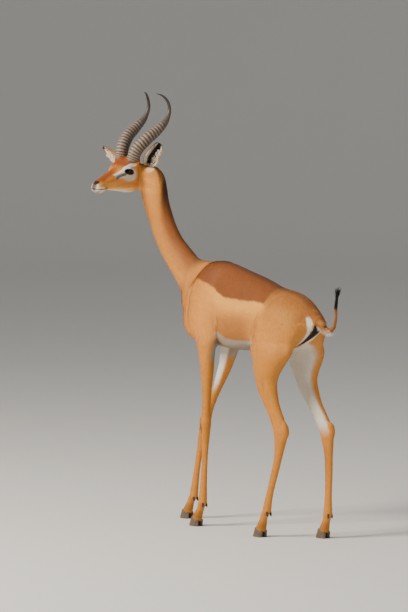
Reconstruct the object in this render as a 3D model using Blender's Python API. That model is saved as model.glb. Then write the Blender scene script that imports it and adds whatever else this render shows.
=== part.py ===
"""A male gerenuk, standing and looking back over its left shoulder, life size.

Metres, +Z up. The animal faces -Y and its left is +X. The soles stand on z = 0, and the
middle of the whole box lies over the origin. Body shapes are smooth solid fields: a point is
inside where the field is negative. Each body part is traced from the fields, thinned to few
faces, and cut from its neighbours by thin planes.
"""
import bmesh
import bpy
import numpy as np
from mathutils import Matrix, Vector

# Place of the design frame in the part's frame, so that the box is centred on the origin
SHIFT = np.array((-0.0967, -0.1693, 0.0))
GAP = 0.0003

# Trunk: along the back (y), height of back, height of belly, half width, narrowing upwards
TRUNK = (
    (-0.080, 0.885, 0.822, 0.020, 0.10),
    (-0.060, 0.945, 0.782, 0.052, 0.15),
    (-0.015, 0.993, 0.734, 0.076, 0.28),
    (0.060, 1.012, 0.700, 0.089, 0.36),
    (0.150, 1.010, 0.684, 0.101, 0.30),
    (0.260, 0.982, 0.680, 0.106, 0.20),
    (0.360, 0.955, 0.690, 0.101, 0.18),
    (0.450, 0.924, 0.704, 0.094, 0.26),
    (0.530, 0.908, 0.718, 0.086, 0.32),
    (0.580, 0.888, 0.735, 0.072, 0.34),
    (0.620, 0.858, 0.757, 0.052, 0.30),
    (0.655, 0.824, 0.780, 0.028, 0.10),
)
BELLY_SHARE = 0.46
TRUNK_SQUARENESS = 2.3
# Muscles on each side of the trunk: place on the left, half sizes, lean back in degrees, blend
SHOULDER_BLADE = ((0.052, 0.062, 0.880), (0.040, 0.060, 0.125), 22, 0.035)
UPPER_ARM = ((0.062, 0.050, 0.790), (0.034, 0.072, 0.058), -28, 0.040)
HAUNCH = ((0.056, 0.486, 0.785), (0.048, 0.098, 0.100), -18, 0.045)
# Neck: height, side shift, fore shift, half width, half depth
NECK = (
    (0.860, 0.000, 0.000, 0.062, 0.085),
    (0.930, 0.003, -0.048, 0.060, 0.092),
    (0.980, 0.008, -0.092, 0.055, 0.094),
    (1.034, 0.018, -0.136, 0.050, 0.086),
    (1.091, 0.033, -0.172, 0.045, 0.070),
    (1.141, 0.045, -0.190, 0.042, 0.064),
    (1.187, 0.055, -0.202, 0.042, 0.064),
    (1.233, 0.063, -0.212, 0.042, 0.064),
    (1.280, 0.069, -0.219, 0.043, 0.067),
    (1.320, 0.072, -0.229, 0.044, 0.067),
    (1.372, 0.077, -0.240, 0.037, 0.047),
)
# Foreleg thickness: level (0 elbow, 1 knee, 2 fetlock, 3 hoof top), half side, half depth
FORE_THICKNESS = (
    (-0.40, 0.028, 0.060),
    (0.00, 0.031, 0.048),
    (0.20, 0.028, 0.035),
    (0.38, 0.024, 0.029),
    (0.56, 0.019, 0.022),
    (0.85, 0.0175, 0.0190),
    (1.00, 0.0205, 0.0225),
    (1.14, 0.0180, 0.0195),
    (1.32, 0.0130, 0.0165),
    (1.75, 0.0125, 0.0155),
    (1.90, 0.0145, 0.0180),
    (2.00, 0.0160, 0.0195),
    (2.35, 0.0150, 0.0160),
    (3.00, 0.0205, 0.0215),
)
# Hind leg thickness: level (0 stifle, 1 hock, 2 fetlock, 3 hoof top), half side, fore, aft
HIND_THICKNESS = (
    (-0.45, 0.040, 0.100),
    (-0.15, 0.045, 0.108),
    (0.00, 0.044, 0.090),
    (0.14, 0.040, 0.070),
    (0.28, 0.035, 0.053),
    (0.45, 0.029, 0.047),
    (0.62, 0.023, 0.040),
    (0.80, 0.0205, 0.0385),
    (1.00, 0.0205, 0.0355),
    (1.12, 0.0185, 0.0280),
    (1.25, 0.0150, 0.0215),
    (1.50, 0.0125, 0.0185),
    (1.80, 0.0120, 0.0170),
    (2.00, 0.0155, 0.0195),
    (2.40, 0.0150, 0.0160),
    (3.00, 0.0205, 0.0215),
)
# Joints of each leg from top to hoof: side, fore, height
FORE_LEFT = (
    (0.072, 0.075, 0.830),
    (0.083, 0.111, 0.705),
    (0.072, 0.096, 0.400),
    (0.062, 0.066, 0.095),
    (0.060, 0.030, 0.032),
)
FORE_RIGHT = (
    (-0.072, 0.070, 0.820),
    (-0.083, 0.058, 0.690),
    (-0.072, -0.075, 0.388),
    (-0.062, -0.136, 0.090),
    (-0.060, -0.170, 0.032),
)
HIND_LEFT = (
    (0.066, 0.505, 0.810),
    (0.086, 0.483, 0.666),
    (0.080, 0.535, 0.392),
    (0.080, 0.457, 0.100),
    (0.078, 0.422, 0.032),
)
HIND_RIGHT = (
    (-0.066, 0.505, 0.810),
    (-0.086, 0.488, 0.660),
    (-0.080, 0.610, 0.392),
    (-0.080, 0.617, 0.095),
    (-0.078, 0.598, 0.032),
)
# How far each leg bows off the straight line between elbow and knee, or stifle and hock
# Swing of a leg's line between its joints, and how far up its widest place lies
FORE_BOW = 0.004
HIND_LEFT_BOW = -0.040
HIND_RIGHT_BOW = -0.031
BOW_SKEW = 0.85

BOW_SHARPNESS = 1.3
# Bumps of the joints: step from the joint, half sizes, blend
ELBOW = ((0, 0.030, 0.006), (0.020, 0.022, 0.026), 0.014)
KNEE = ((0, -0.004, 0.0), (0.0195, 0.0205, 0.026), 0.010)
HOCK_POINT = ((0, 0.026, 0.016), (0.0125, 0.0125, 0.026), 0.012)
HOCK_LEAN = -12
LEG_BOTTOM = 0.012
# Widths over which the parts of the body run into each other
NECK_BLEND = 0.045
NECK_END_BLEND = 0.040
FORELEG_BLEND = 0.022
HINDLEG_BLEND = 0.030
TAIL_BLEND = 0.020
THROAT_BLEND = 0.020

# Head frame: middle between the eyes, turn to the left from straight ahead, and roll
HEAD_AT = np.array((0.180, -0.282, 1.346))
HEAD_TURN = np.radians(95.0)
HEAD_ROLL = np.radians(5.0)
# Head: along to the nose, height of top, height of underside, half width, widening upwards
HEAD = (
    (-0.105, 0.012, -0.045, 0.024, 0.00),
    (-0.085, 0.036, -0.066, 0.034, 0.05),
    (-0.060, 0.046, -0.078, 0.039, 0.12),
    (-0.030, 0.052, -0.080, 0.041, 0.20),
    (0.000, 0.042, -0.076, 0.041, 0.26),
    (0.025, 0.020, -0.073, 0.036, 0.24),
    (0.050, 0.005, -0.071, 0.0295, 0.16),
    (0.080, -0.010, -0.070, 0.0245, 0.06),
    (0.098, -0.019, -0.073, 0.0215, 0.00),
    (0.116, -0.027, -0.080, 0.0205, -0.04),
    (0.130, -0.034, -0.078, 0.0165, -0.04),
    (0.140, -0.047, -0.069, 0.0080, 0.00),
)
SKULL_SQUARENESS = 2.4
SKULL_BLEND = 0.014
EYE_AT = np.array((-0.005, 0.0340, 0.003))
EYE_RADIUS = 0.0180
EYE_OPENING = (0.0172, 0.0092)
LID_THICKNESS = 0.0022
LID_BLEND = 0.006
EYE_FACING = (0.34, 0.93, 0.10)
SLIT_TILT = 0.16
EYE_DEPTH_SHARE = 0.55
# Bumps of the skull on each side: place on the left, half sizes
BROW = ((-0.003, 0.031, 0.005), (0.029, 0.017, 0.024))
CHEEK = ((-0.040, 0.024, -0.034), (0.040, 0.020, 0.036))
HORN_SEAT = ((-0.032, 0.030, 0.046), (0.029, 0.026, 0.021))
LIP = ((0.114, 0.010, -0.060), (0.022, 0.0125, 0.014))
EAR_SEAT_RADII = (0.018, 0.016, 0.016)
NOSTRIL = ((0.1340, 0.0125, -0.0430), (0.0062, 0.0050, 0.0042))
LIP_LINE_HEIGHT = -0.0640
LIP_LINE_RISE = 0.10
LIP_LINE_LEVEL_FROM = 0.120
MOUTH_CORNER_FADE = 0.012
LIP_LINE_DEPTH = 0.0045
LIP_LINE_HALF = 0.0026
MOUTH_CORNER = 0.090

# Horn: points of its middle line in the head frame, for the left horn
HORN_PATH = (
    (-0.026, 0.030, 0.040),
    (-0.039, 0.039, 0.086),
    (-0.074, 0.053, 0.128),
    (-0.128, 0.060, 0.167),
    (-0.169, 0.060, 0.204),
    (-0.184, 0.058, 0.245),
    (-0.172, 0.054, 0.279),
    (-0.153, 0.045, 0.297),
    (-0.132, 0.034, 0.304),
)
# Thickness of a horn along its length, as shares of its base
HORN_TAPER = (
    (0.00, 1.00),
    (0.30, 0.94),
    (0.45, 0.79),
    (0.58, 0.57),
    (0.68, 0.36),
    (0.80, 0.25),
    (0.92, 0.16),
    (1.00, 0.08),
)
HORN_RADII = (0.0225, 0.0255)
HORN_SIDES = 12
RING_COUNT = 18
RINGED_FROM = 0.06
RINGED_PART = 0.60
RING_CROWDING = 0.78
RING_HEIGHT = 0.0017

# Ear: root of the left ear in the head frame, tips of both, greatest half width, wall
EAR_ROOT = np.array((-0.096, 0.038, 0.014))
EAR_TIP_LEFT = np.array((-0.066, 0.136, 0.121))
EAR_TIP_RIGHT = np.array((-0.046, -0.158, 0.080))
EAR_HALF_WIDTH = 0.0255
EAR_WALL = 0.0030
EAR_ROOT_RADIUS = 0.0150
EAR_ROOT_TAPER = 0.28
EAR_SINK = 0.006
EAR_CUP_START = 0.13
EAR_WIDEST = 0.50
EAR_FOOT_TAPER = 1.3
EAR_TIP_ROUNDING = 0.45
EAR_LEAST_HALF_WIDTH = 0.0035
EAR_BOW = 0.012
EAR_BEND_FOOT = 100
EAR_BEND_LOSS = 45
# Room kept clear of nape and crown round the lower half of the cup: along the ear, its radii
EAR_ROOM_AT = 0.052
EAR_ROOM_RADII = (0.039, 0.039, 0.036)

# Tail: points of its middle line, radius there
TAIL_PATH = (
    (0.000, 0.632, 0.826),
    (0.001, 0.664, 0.797),
    (0.003, 0.702, 0.781),
    (0.006, 0.740, 0.791),
    (0.008, 0.754, 0.825),
    (0.008, 0.755, 0.870),
    (0.008, 0.761, 0.905),
)
TAIL_RADII = (0.021, 0.0160, 0.0105, 0.0076, 0.0064, 0.0058, 0.0036)
TAIL_CUT = 0.26
LOCK_COUNT = 12
LOCK_LENGTH = 0.070
LOCK_HALF_WIDTH = 0.0038

# Hoof: half length, half width of one toe, its side step from the middle, heights
HOOF_HALF_LENGTH = 0.027
HOOF_HALF_WIDTH = 0.0100
TOE_STEP = 0.0108
HOOF_TOP = 0.030
CORONET_SLOPE = 0.30
# How the hoof's top is shorter and slimmer than its sole, how narrow its front is, its lean
HOOF_NARROWING = (0.78, 0.92)
HOOF_POINT = 0.72
HOOF_LEAN = 0.008
DEWCLAW_LENGTH = 0.020
DEWCLAW_RADIUS = 0.0062
# Dewclaw from the fetlock: place and way behind and below it, spread of the pair
DEWCLAW_AT = (0.0125, -0.006)
DEWCLAW_WAY = (0.62, -0.78)
DEWCLAW_SPREAD = 12
DEWCLAW_STEP_SHARE = 0.8

# Cuts between body parts: height over the middle line, rise with |x|, rise with y
FORE_CUT = (0.672, 0.35, 0.0)
HIND_CUT = (0.576, 0.55, 0.22)
NECK_CUT_AT = (0.0, -0.040, 0.935)
NECK_CUT_FACING = (0.0, -0.757, 0.656)
HEAD_CUT_AT = (-0.105, 0.0, -0.035)
HEAD_CUT_FACING = (0.814, 0.0, 0.581)

# Cuts across the knee and the hock, as steps from the joint
KNEE_CUT_STEP = 0.012
HOCK_CUT_STEP = -0.035
# Boxes that hold the traced parts, the mesh step there and the triangles left after thinning
TORSO_BOX = ((-0.16, -0.16, 0.60), (0.16, 0.72, 1.06))
TORSO_STEP = 0.007
TORSO_TRIANGLES = 2300
NECK_BOX = ((-0.10, -0.38, 0.84), (0.22, 0.08, 1.42))
NECK_STEP = 0.006
NECK_TRIANGLES = 800
HEAD_ROOM_LOW = (0.17, 0.10, 0.12)
HEAD_ROOM_HIGH = (0.17, 0.14, 0.08)
HEAD_STEP = 0.0024
HEAD_TRIANGLES = 2500
LEG_ROOM_SIDE = (0.012, 0.16)
LEG_ROOM_ALONG = 0.15
LEG_ROOM_LOW = 0.010
LEG_ROOM_HIGH = 0.84
LEG_STEP = 0.0045
FORELEG_TRIANGLES = 940
HINDLEG_TRIANGLES = 1175

# Colours: sRGB, roughness
COAT_TAN = ((0.86, 0.65, 0.42), 0.85)
COAT_SADDLE = ((0.66, 0.41, 0.24), 0.85)
COAT_LEG = ((0.85, 0.58, 0.32), 0.85)
COAT_FACE = ((0.72, 0.40, 0.19), 0.85)
KERATIN_HORN = ((0.44, 0.39, 0.34), 0.45)
KERATIN_HOOF = ((0.20, 0.18, 0.16), 0.50)
EYE_DARK = ((0.05, 0.03, 0.02), 0.08)
TAIL_BROWN = ((0.55, 0.33, 0.17), 0.85)


def smooth_through(knots, values, t):
    """Read columns of values off a smooth curve that passes through them at the knots."""
    knots = np.asarray(knots, float)
    values = np.asarray(values, float)
    slopes = np.gradient(values, knots, axis=0)
    t = np.clip(t, knots[0], knots[-1])
    first = np.clip(np.searchsorted(knots, t) - 1, 0, len(knots) - 2)
    width = (knots[first + 1] - knots[first])[:, None]
    s = (t - knots[first])[:, None] / width
    near = values[first] * (1 + 2 * s) * (1 - s) ** 2 + slopes[first] * width * s * (1 - s) ** 2
    far = values[first + 1] * s**2 * (3 - 2 * s) - slopes[first + 1] * width * s**2 * (1 - s)
    return (near + far).T


def read_table(table, t):
    """Read all but the first column of a table at the places t of its first column."""
    rows = np.asarray(table, float)
    return smooth_through(rows[:, 0], rows[:, 1:], t)


def blend(a, b, width):
    """Smooth union of two fields."""
    share = np.clip(0.5 + 0.5 * (b - a) / width, 0, 1)
    return b + (a - b) * share - width * share * (1 - share)


def carve(body, tool, width):
    """Smooth difference of two fields."""
    return -blend(-body, tool, width)


def ellipsoid(p, centre, radii, axes=None):
    """Field of an ellipsoid, turned so that its axes are the rows of axes."""
    q = p - np.asarray(centre)
    if axes is not None:
        q = q @ np.asarray(axes).T
    q = q / np.asarray(radii)
    return (np.linalg.norm(q, axis=1) - 1) * min(radii)


def pitched(degrees):
    """Axes turned about X, so that the long Z axis leans towards +Y by the angle."""
    lean = np.radians(degrees)
    return ((1, 0, 0), (0, np.cos(lean), -np.sin(lean)), (0, np.sin(lean), np.cos(lean)))


def trunk_field(p):
    """The barrel of chest and belly with shoulder blades, haunches and croup."""
    back, belly, half_width, narrowing = read_table(TRUNK, p[:, 1])
    middle = belly + BELLY_SHARE * (back - belly)
    half_height = np.where(p[:, 2] > middle, back - middle, middle - belly)
    level = (p[:, 2] - middle) / half_height
    across = p[:, 0] / (half_width * (1 - narrowing * np.clip(level, 0, 1)))
    power = TRUNK_SQUARENESS
    ring = (np.abs(across) ** power + np.abs(level) ** power) ** (1 / power)
    body = (ring - 1) * np.minimum(half_width, half_height)
    body = np.maximum(body, TRUNK[0][0] - p[:, 1])
    body = np.maximum(body, p[:, 1] - TRUNK[-1][0])
    for side in (-1, 1):
        for (x, y, z), radii, lean, width in (SHOULDER_BLADE, UPPER_ARM, HAUNCH):
            muscle = ellipsoid(p, (side * x, y, z), radii, pitched(lean))
            body = blend(body, muscle, width)
    return body


def neck_field(p):
    """The long neck, from between the shoulder blades to the back of the head."""
    side, fore, half_width, half_depth = read_table(NECK, p[:, 2])
    ring = np.hypot((p[:, 0] - side) / half_width, (p[:, 1] - fore) / half_depth)
    tube = (ring - 1) * half_width
    tube = -blend(-tube, NECK[-1][0] - p[:, 2], NECK_END_BLEND)
    return np.maximum(tube, NECK[0][0] - p[:, 2])


def leg_field(p, joints, thickness, bow):
    """One leg as rings about the line through its joints, from thigh or shoulder down."""
    joints = np.asarray(joints)
    levels = np.arange(len(joints)) - 1.0
    heights = joints[:, 2]
    level = np.interp(-p[:, 2], -heights, levels)
    side, fore = smooth_through(levels, joints[:, :2], level)
    fore = fore + bow * np.sin(np.pi * np.clip(level, 0, 1) ** BOW_SKEW) ** BOW_SHARPNESS
    half_side, half_depth = read_table(thickness, level)
    ring = np.hypot((p[:, 0] - side) / half_side, (p[:, 1] - fore) / half_depth)
    leg = (ring - 1) * half_side
    return np.maximum(np.maximum(leg, p[:, 2] - heights[0]), LEG_BOTTOM - p[:, 2])


def foreleg_field(p, joints):
    """A foreleg with its elbow and knee."""
    leg = leg_field(p, joints, FORE_THICKNESS, FORE_BOW)
    for joint, (step, radii, width) in ((joints[1], ELBOW), (joints[2], KNEE)):
        leg = blend(leg, ellipsoid(p, np.array(joint) + step, radii), width)
    return leg


def hind_leg_field(p, joints):
    """A hind leg with its stifle and the point of its hock."""
    bow = HIND_LEFT_BOW if joints is HIND_LEFT else HIND_RIGHT_BOW
    leg = leg_field(p, joints, HIND_THICKNESS, bow)
    step, radii, width = HOCK_POINT
    point = ellipsoid(p, np.array(joints[2]) + step, radii, pitched(HOCK_LEAN))
    return blend(leg, point, width)


def head_axes():
    """Head frame as rows: towards the nose, to the head's left, and up."""
    ahead = np.array((np.sin(HEAD_TURN), -np.cos(HEAD_TURN), 0.0))
    left = np.array((np.cos(HEAD_TURN), np.sin(HEAD_TURN), 0.0))
    up = np.array((0.0, 0.0, 1.0))
    tipped = left * np.cos(HEAD_ROLL) - up * np.sin(HEAD_ROLL)
    return np.stack((ahead, tipped, np.cross(ahead, tipped)))


def from_head(points):
    """Turn points of the head frame into the design frame."""
    return np.asarray(points) @ head_axes() + HEAD_AT


def mirrored(point, side):
    """A point of the left side, or its mirror image on the right for side -1."""
    return np.asarray(point, float) * (1, side, 1)


def skull_field(q):
    """Head without eyes, ears or horns, in the head frame."""
    top, under, half_width, widening = read_table(HEAD, q[:, 0])
    level = (q[:, 2] - (top + under) / 2) / ((top - under) / 2)
    across = q[:, 1] / (half_width * (1 + widening * np.clip(level, -1, 1)))
    power = SKULL_SQUARENESS
    ring = (np.abs(across) ** power + np.abs(level) ** power) ** (1 / power)
    head = (ring - 1) * half_width
    head = np.maximum(head, q[:, 0] - HEAD[-1][0])
    head = np.maximum(head, HEAD[0][0] - q[:, 0])
    for side in (-1, 1):
        for place, radii in (BROW, CHEEK, HORN_SEAT, (EAR_ROOT, EAR_SEAT_RADII), LIP):
            bump = ellipsoid(q, mirrored(place, side), radii)
            head = blend(head, bump, SKULL_BLEND)
    return head


def eye_axes(side):
    """Frame of one eye: along the slit, up, and out through the pupil."""
    out = mirrored(EYE_FACING, side)
    out = out / np.linalg.norm(out)
    along = np.cross((0, 0, 1), out)
    along = along / np.linalg.norm(along)
    slit = along * np.cos(SLIT_TILT) - side * np.cross(out, along) * np.sin(SLIT_TILT)
    return np.stack((slit, np.cross(out, slit), out))


def face_field(q):
    """Head with lids round open eyes, nostrils and the line of the mouth."""
    head = skull_field(q)
    for side in (-1, 1):
        centre = mirrored(EYE_AT, side)
        lid_ball = np.linalg.norm(q - centre, axis=1) - EYE_RADIUS - LID_THICKNESS
        head = blend(head, lid_ball, LID_BLEND)
        e = (q - centre) @ eye_axes(side).T
        opening = np.hypot(e[:, 0] / EYE_OPENING[0], e[:, 1] / EYE_OPENING[1]) - 1
        opening = np.maximum(opening * EYE_OPENING[1], EYE_RADIUS * EYE_DEPTH_SHARE - e[:, 2])
        head = carve(head, opening, 0.0012)
        nostril = ellipsoid(q, mirrored(NOSTRIL[0], side), NOSTRIL[1])
        head = carve(head, nostril, 0.002)
    lip_height = LIP_LINE_HEIGHT + LIP_LINE_RISE * np.maximum(LIP_LINE_LEVEL_FROM - q[:, 0], 0)
    groove = LIP_LINE_HALF * np.clip(1 + head / LIP_LINE_DEPTH, 0, 2)
    fade = np.clip((q[:, 0] - MOUTH_CORNER) / MOUTH_CORNER_FADE, -1, 1)
    return np.maximum(head, groove * fade - np.abs(q[:, 2] - lip_height))


def head_field(p):
    """The head in the design frame."""
    return face_field((p - HEAD_AT) @ head_axes().T)


def tail_stub_field(p):
    """The thick root of the tail that grows out of the croup."""
    root = np.array(TAIL_PATH[0])
    end = np.array(TAIL_PATH[2])
    way = end - root
    share = np.clip((p - root) @ way / (way @ way), 0, 1)
    radius = np.interp(share, (0, 0.5, 1), TAIL_RADII[:3])
    return np.linalg.norm(p - root - share[:, None] * way, axis=1) - radius


def body_field(p):
    """Trunk, neck, tail root and the tops of the legs, blended."""
    body = blend(trunk_field(p), neck_field(p), NECK_BLEND)
    for joints in (FORE_LEFT, FORE_RIGHT):
        body = blend(body, foreleg_field(p, joints), FORELEG_BLEND)
    for joints in (HIND_LEFT, HIND_RIGHT):
        body = blend(body, hind_leg_field(p, joints), HINDLEG_BLEND)
    return blend(body, tail_stub_field(p), TAIL_BLEND)


def throat_field(p):
    """Neck and head, blended behind the jaw, with room for the cups of the ears."""
    throat = blend(neck_field(p), head_field(p), THROAT_BLEND)
    throat = blend(throat, trunk_field(p), NECK_BLEND)
    for side in (-1, 1):
        root, _, along, across, back = ear_frame(side)
        room = ellipsoid(p, root + along * EAR_ROOM_AT, EAR_ROOM_RADII, (along, across, back))
        throat = carve(throat, room, 0.006)
    return throat


def trace(field, low, high, step):
    """Mesh the surface of a field in a box: one point for each cell that it crosses."""
    low = np.asarray(low, float)
    counts = np.ceil((np.asarray(high) - low) / step).astype(int) + 1
    steps = [low[i] + step * np.arange(counts[i]) for i in range(3)]
    grid = np.stack(np.meshgrid(*steps, indexing="ij"), -1).reshape(-1, 3)
    value = field(grid).reshape(counts)
    for axis in range(3):
        edge = [slice(None)] * 3
        for end in (0, -1):
            edge[axis] = end
            value[tuple(edge)] = np.maximum(value[tuple(edge)], step * 0.5)
    fill_checkers(value, step)
    points = np.zeros(tuple(counts - 1) + (3,))
    crossings = np.zeros(tuple(counts - 1))
    for axis in range(3):
        for corner in range(4):
            start = np.zeros(3, int)
            start[(axis + 1) % 3] = corner & 1
            start[(axis + 2) % 3] = corner >> 1
            end = start.copy()
            end[axis] = 1
            a = cell_corner(value, start)
            b = cell_corner(value, end)
            crossed = (a < 0) != (b < 0)
            share = np.where(crossed, a / np.where(crossed, a - b, 1), 0)
            points += crossed[..., None] * start
            points[..., axis] += share
            crossings += crossed
    used = crossings > 0
    number = np.cumsum(used).reshape(used.shape) - 1
    cells = np.argwhere(used)
    spots = low + step * (cells + points[used] / crossings[used][:, None])
    faces = []
    for axis in range(3):
        a = value[tuple(slice(1, -1) if i != axis else slice(None, -1) for i in range(3))]
        b = value[tuple(slice(1, -1) if i != axis else slice(1, None) for i in range(3))]
        for leaving in (True, False):
            spot = np.argwhere((a < 0) & (b >= 0) if leaving else (a >= 0) & (b < 0))
            spot += [0 if i == axis else 1 for i in range(3)]
            one = np.eye(3, dtype=int)[(axis + 1) % 3]
            two = np.eye(3, dtype=int)[(axis + 2) % 3]
            ring = (spot - one - two, spot - two, spot, spot - one)
            if not leaving:
                ring = ring[::-1]
            faces.append(np.stack([number[tuple(c.T)] for c in ring], 1))
    return spots, np.concatenate(faces)


def fill_checkers(value, step):
    """Fill one of two crossed open corners of a grid square, so that no edge gets four faces."""
    for _ in range(6):
        for axis in range(3):
            sheet = np.moveaxis(value, axis, 0)
            a = sheet[:, :-1, :-1]
            b = sheet[:, 1:, :-1]
            c = sheet[:, :-1, 1:]
            d = sheet[:, 1:, 1:]
            one_way = (a < 0) & (d < 0) & (b >= 0) & (c >= 0)
            b[one_way] = -0.01 * step
            other_way = (a >= 0) & (d >= 0) & (b < 0) & (c < 0)
            a[other_way] = -0.01 * step


def cell_corner(value, corner):
    """Values at one corner of every cell of a grid."""
    return value[tuple(slice(c, c + value.shape[i] - 1) for i, c in enumerate(corner))]


def material(name, colour):
    """A plain material with a colour and roughness."""
    shade, roughness = colour
    made = bpy.data.materials.new(name)
    made.use_nodes = True
    surface = made.node_tree.nodes["Principled BSDF"]
    surface.inputs["Base Color"].default_value = (*[c**2.2 for c in shade], 1)
    surface.inputs["Roughness"].default_value = roughness
    surface.inputs["Metallic"].default_value = 0.0
    return made


def new_object(name, points, faces, colour=None):
    """An object in the part's frame from points of the design frame."""
    mesh = bpy.data.meshes.new(name)
    mesh.from_pydata((np.asarray(points) + SHIFT).tolist(), [], [list(f) for f in faces])
    made = bpy.data.objects.new(name, mesh)
    bpy.context.scene.collection.objects.link(made)
    if colour is not None:
        mesh.materials.append(material(name, colour))
    return made


def apply_modifiers(thing):
    """Replace an object's mesh by what its modifiers make of it."""
    bpy.context.view_layer.update()
    shaped = thing.evaluated_get(bpy.context.evaluated_depsgraph_get())
    mesh = bpy.data.meshes.new_from_object(shaped)
    thing.modifiers.clear()
    old = thing.data
    thing.data = mesh
    bpy.data.meshes.remove(old)


def thin(thing, triangles):
    """Thin an object's mesh to about so many triangles."""
    count = sum(len(f.vertices) - 2 for f in thing.data.polygons)
    step = thing.modifiers.new("thin", "DECIMATE")
    step.ratio = min(1.0, triangles / count)
    step.use_collapse_triangulate = True
    apply_modifiers(thing)


def keep_largest(b):
    """Delete all but the largest closed surface of a mesh."""
    groups = []
    left = set(b.faces)
    while left:
        group = {left.pop()}
        edge = list(group)
        while edge:
            face = edge.pop()
            for loop in face.loops:
                for other in loop.edge.link_faces:
                    if other in left:
                        left.discard(other)
                        group.add(other)
                        edge.append(other)
        groups.append(group)
    largest = max(groups, key=lambda g: sum(f.calc_area() for f in g))
    loose = [f for g in groups if g is not largest for f in g]
    bmesh.ops.delete(b, geom=loose, context="FACES")
    bmesh.ops.delete(b, geom=[v for v in b.verts if not v.link_faces], context="VERTS")


def plane_cut(thing, at, facing):
    """Cut an object by a plane and keep the side that the plane faces, less half a gap."""
    facing = Vector(facing).normalized()
    b = bmesh.new()
    b.from_mesh(thing.data)
    spot = Vector(at) + Vector(SHIFT) + facing * (GAP / 2)
    bmesh.ops.bisect_plane(
        b, geom=b.verts[:] + b.edges[:] + b.faces[:], dist=1e-6,
        plane_co=spot, plane_no=facing, clear_inner=True,
    )
    rim = [e for e in b.edges if e.is_boundary]
    bmesh.ops.holes_fill(b, edges=rim, sides=0)
    bmesh.ops.triangulate(b, faces=[f for f in b.faces if len(f.verts) > 3])
    keep_largest(b)
    bmesh.ops.recalc_face_normals(b, faces=b.faces[:])
    b.to_mesh(thing.data)
    b.free()


def combine(thing, tool, operation):
    """Union with a tool object, or cut by it, and remove the tool."""
    step = thing.modifiers.new("combine", "BOOLEAN")
    step.operation = operation
    step.solver = "EXACT"
    step.object = tool
    apply_modifiers(thing)
    bpy.data.objects.remove(tool)
    b = bmesh.new()
    b.from_mesh(thing.data)
    keep_largest(b)
    bmesh.ops.triangulate(b, faces=[f for f in b.faces if len(f.verts) > 3])
    b.to_mesh(thing.data)
    b.free()


def traced_object(name, field, low, high, step, triangles, colour):
    """An object traced from a field, thinned, with the largest surface kept."""
    points, faces = trace(field, low, high, step)
    made = new_object(name, points, faces, colour)
    b = bmesh.new()
    b.from_mesh(made.data)
    keep_largest(b)
    b.to_mesh(made.data)
    b.free()
    thin(made, triangles)
    return made


def leg_cut(rule, side):
    """A point and an upward normal of the slanting cut above one leg."""
    height, rise_side, rise_back = rule
    return (0, 0, height), (-side * rise_side, -rise_back, 1)


def make_torso():
    """Torso: everything above the leg cuts and behind the neck cut."""
    torso = traced_object(
        "torso", body_field, *TORSO_BOX, TORSO_STEP, TORSO_TRIANGLES, COAT_SADDLE
    )
    for side in (-1, 1):
        for rule in (FORE_CUT, HIND_CUT):
            plane_cut(torso, *leg_cut(rule, side))
    plane_cut(torso, NECK_CUT_AT, -np.array(NECK_CUT_FACING))
    plane_cut(torso, *tail_cut(-1))
    return torso


def make_neck():
    """Neck between the shoulder cut and the cut behind the jaw."""
    neck = traced_object(
        "neck", throat_field, *NECK_BOX, NECK_STEP, NECK_TRIANGLES, COAT_TAN
    )
    plane_cut(neck, NECK_CUT_AT, NECK_CUT_FACING)
    plane_cut(neck, from_head(HEAD_CUT_AT), -(np.array(HEAD_CUT_FACING) @ head_axes()))
    return neck


def make_head():
    """Head with sockets for eyes, ears and horns."""
    low = HEAD_AT - HEAD_ROOM_LOW
    high = HEAD_AT + HEAD_ROOM_HIGH
    head = traced_object("head", throat_field, low, high, HEAD_STEP, HEAD_TRIANGLES, COAT_FACE)
    plane_cut(head, from_head(HEAD_CUT_AT), np.array(HEAD_CUT_FACING) @ head_axes())
    for side in (-1, 1):
        combine(head, eyeball("socket", side, GAP), "DIFFERENCE")
        combine(head, horn_root("socket", side, GAP), "DIFFERENCE")
        combine(head, ear_root("socket", side, GAP), "DIFFERENCE")
    return head


def eyeball(name, side, extra, colour=None):
    """An eyeball, or its socket with a gap around it."""
    b = bmesh.new()
    bmesh.ops.create_icosphere(b, subdivisions=2, radius=EYE_RADIUS + extra)
    mesh = bpy.data.meshes.new(name)
    b.to_mesh(mesh)
    b.free()
    centre = from_head(mirrored(EYE_AT, side)) + SHIFT
    mesh.transform(Matrix.Translation(Vector(centre)))
    made = bpy.data.objects.new(name, mesh)
    bpy.context.scene.collection.objects.link(made)
    if colour is not None:
        mesh.materials.append(material(name, colour))
    return made


def tube(name, centres, across, upward, radii, sides, colour=None):
    """A closed tube: rings of elliptical section with flat ends."""
    points = []
    for middle, one, two, (a, b) in zip(centres, across, upward, radii):
        for k in range(sides):
            turn = 2 * np.pi * k / sides
            points.append(middle + one * a * np.cos(turn) + two * b * np.sin(turn))
    count = len(centres)
    faces = [list(range(sides))[::-1], list(range((count - 1) * sides, count * sides))]
    for i in range(count - 1):
        for k in range(sides):
            j = (k + 1) % sides
            low = i * sides
            high = low + sides
            faces.append((low + k, low + j, high + j, high + k))
    made = new_object(name, points, faces, colour)
    tidy_faces(made)
    return made


def tidy_faces(thing):
    """Triangulate an object and turn its faces outwards."""
    b = bmesh.new()
    b.from_mesh(thing.data)
    bmesh.ops.triangulate(b, faces=b.faces[:])
    bmesh.ops.recalc_face_normals(b, faces=b.faces[:])
    b.to_mesh(thing.data)
    b.free()


def frames_along(path, guide):
    """Across and upward directions along a path, kept steady by a guide direction."""
    ways = np.gradient(path, axis=0)
    ways = ways / np.linalg.norm(ways, axis=1)[:, None]
    across = np.cross(ways, guide)
    across = across / np.linalg.norm(across, axis=1)[:, None]
    return across, np.cross(across, ways), ways


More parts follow.
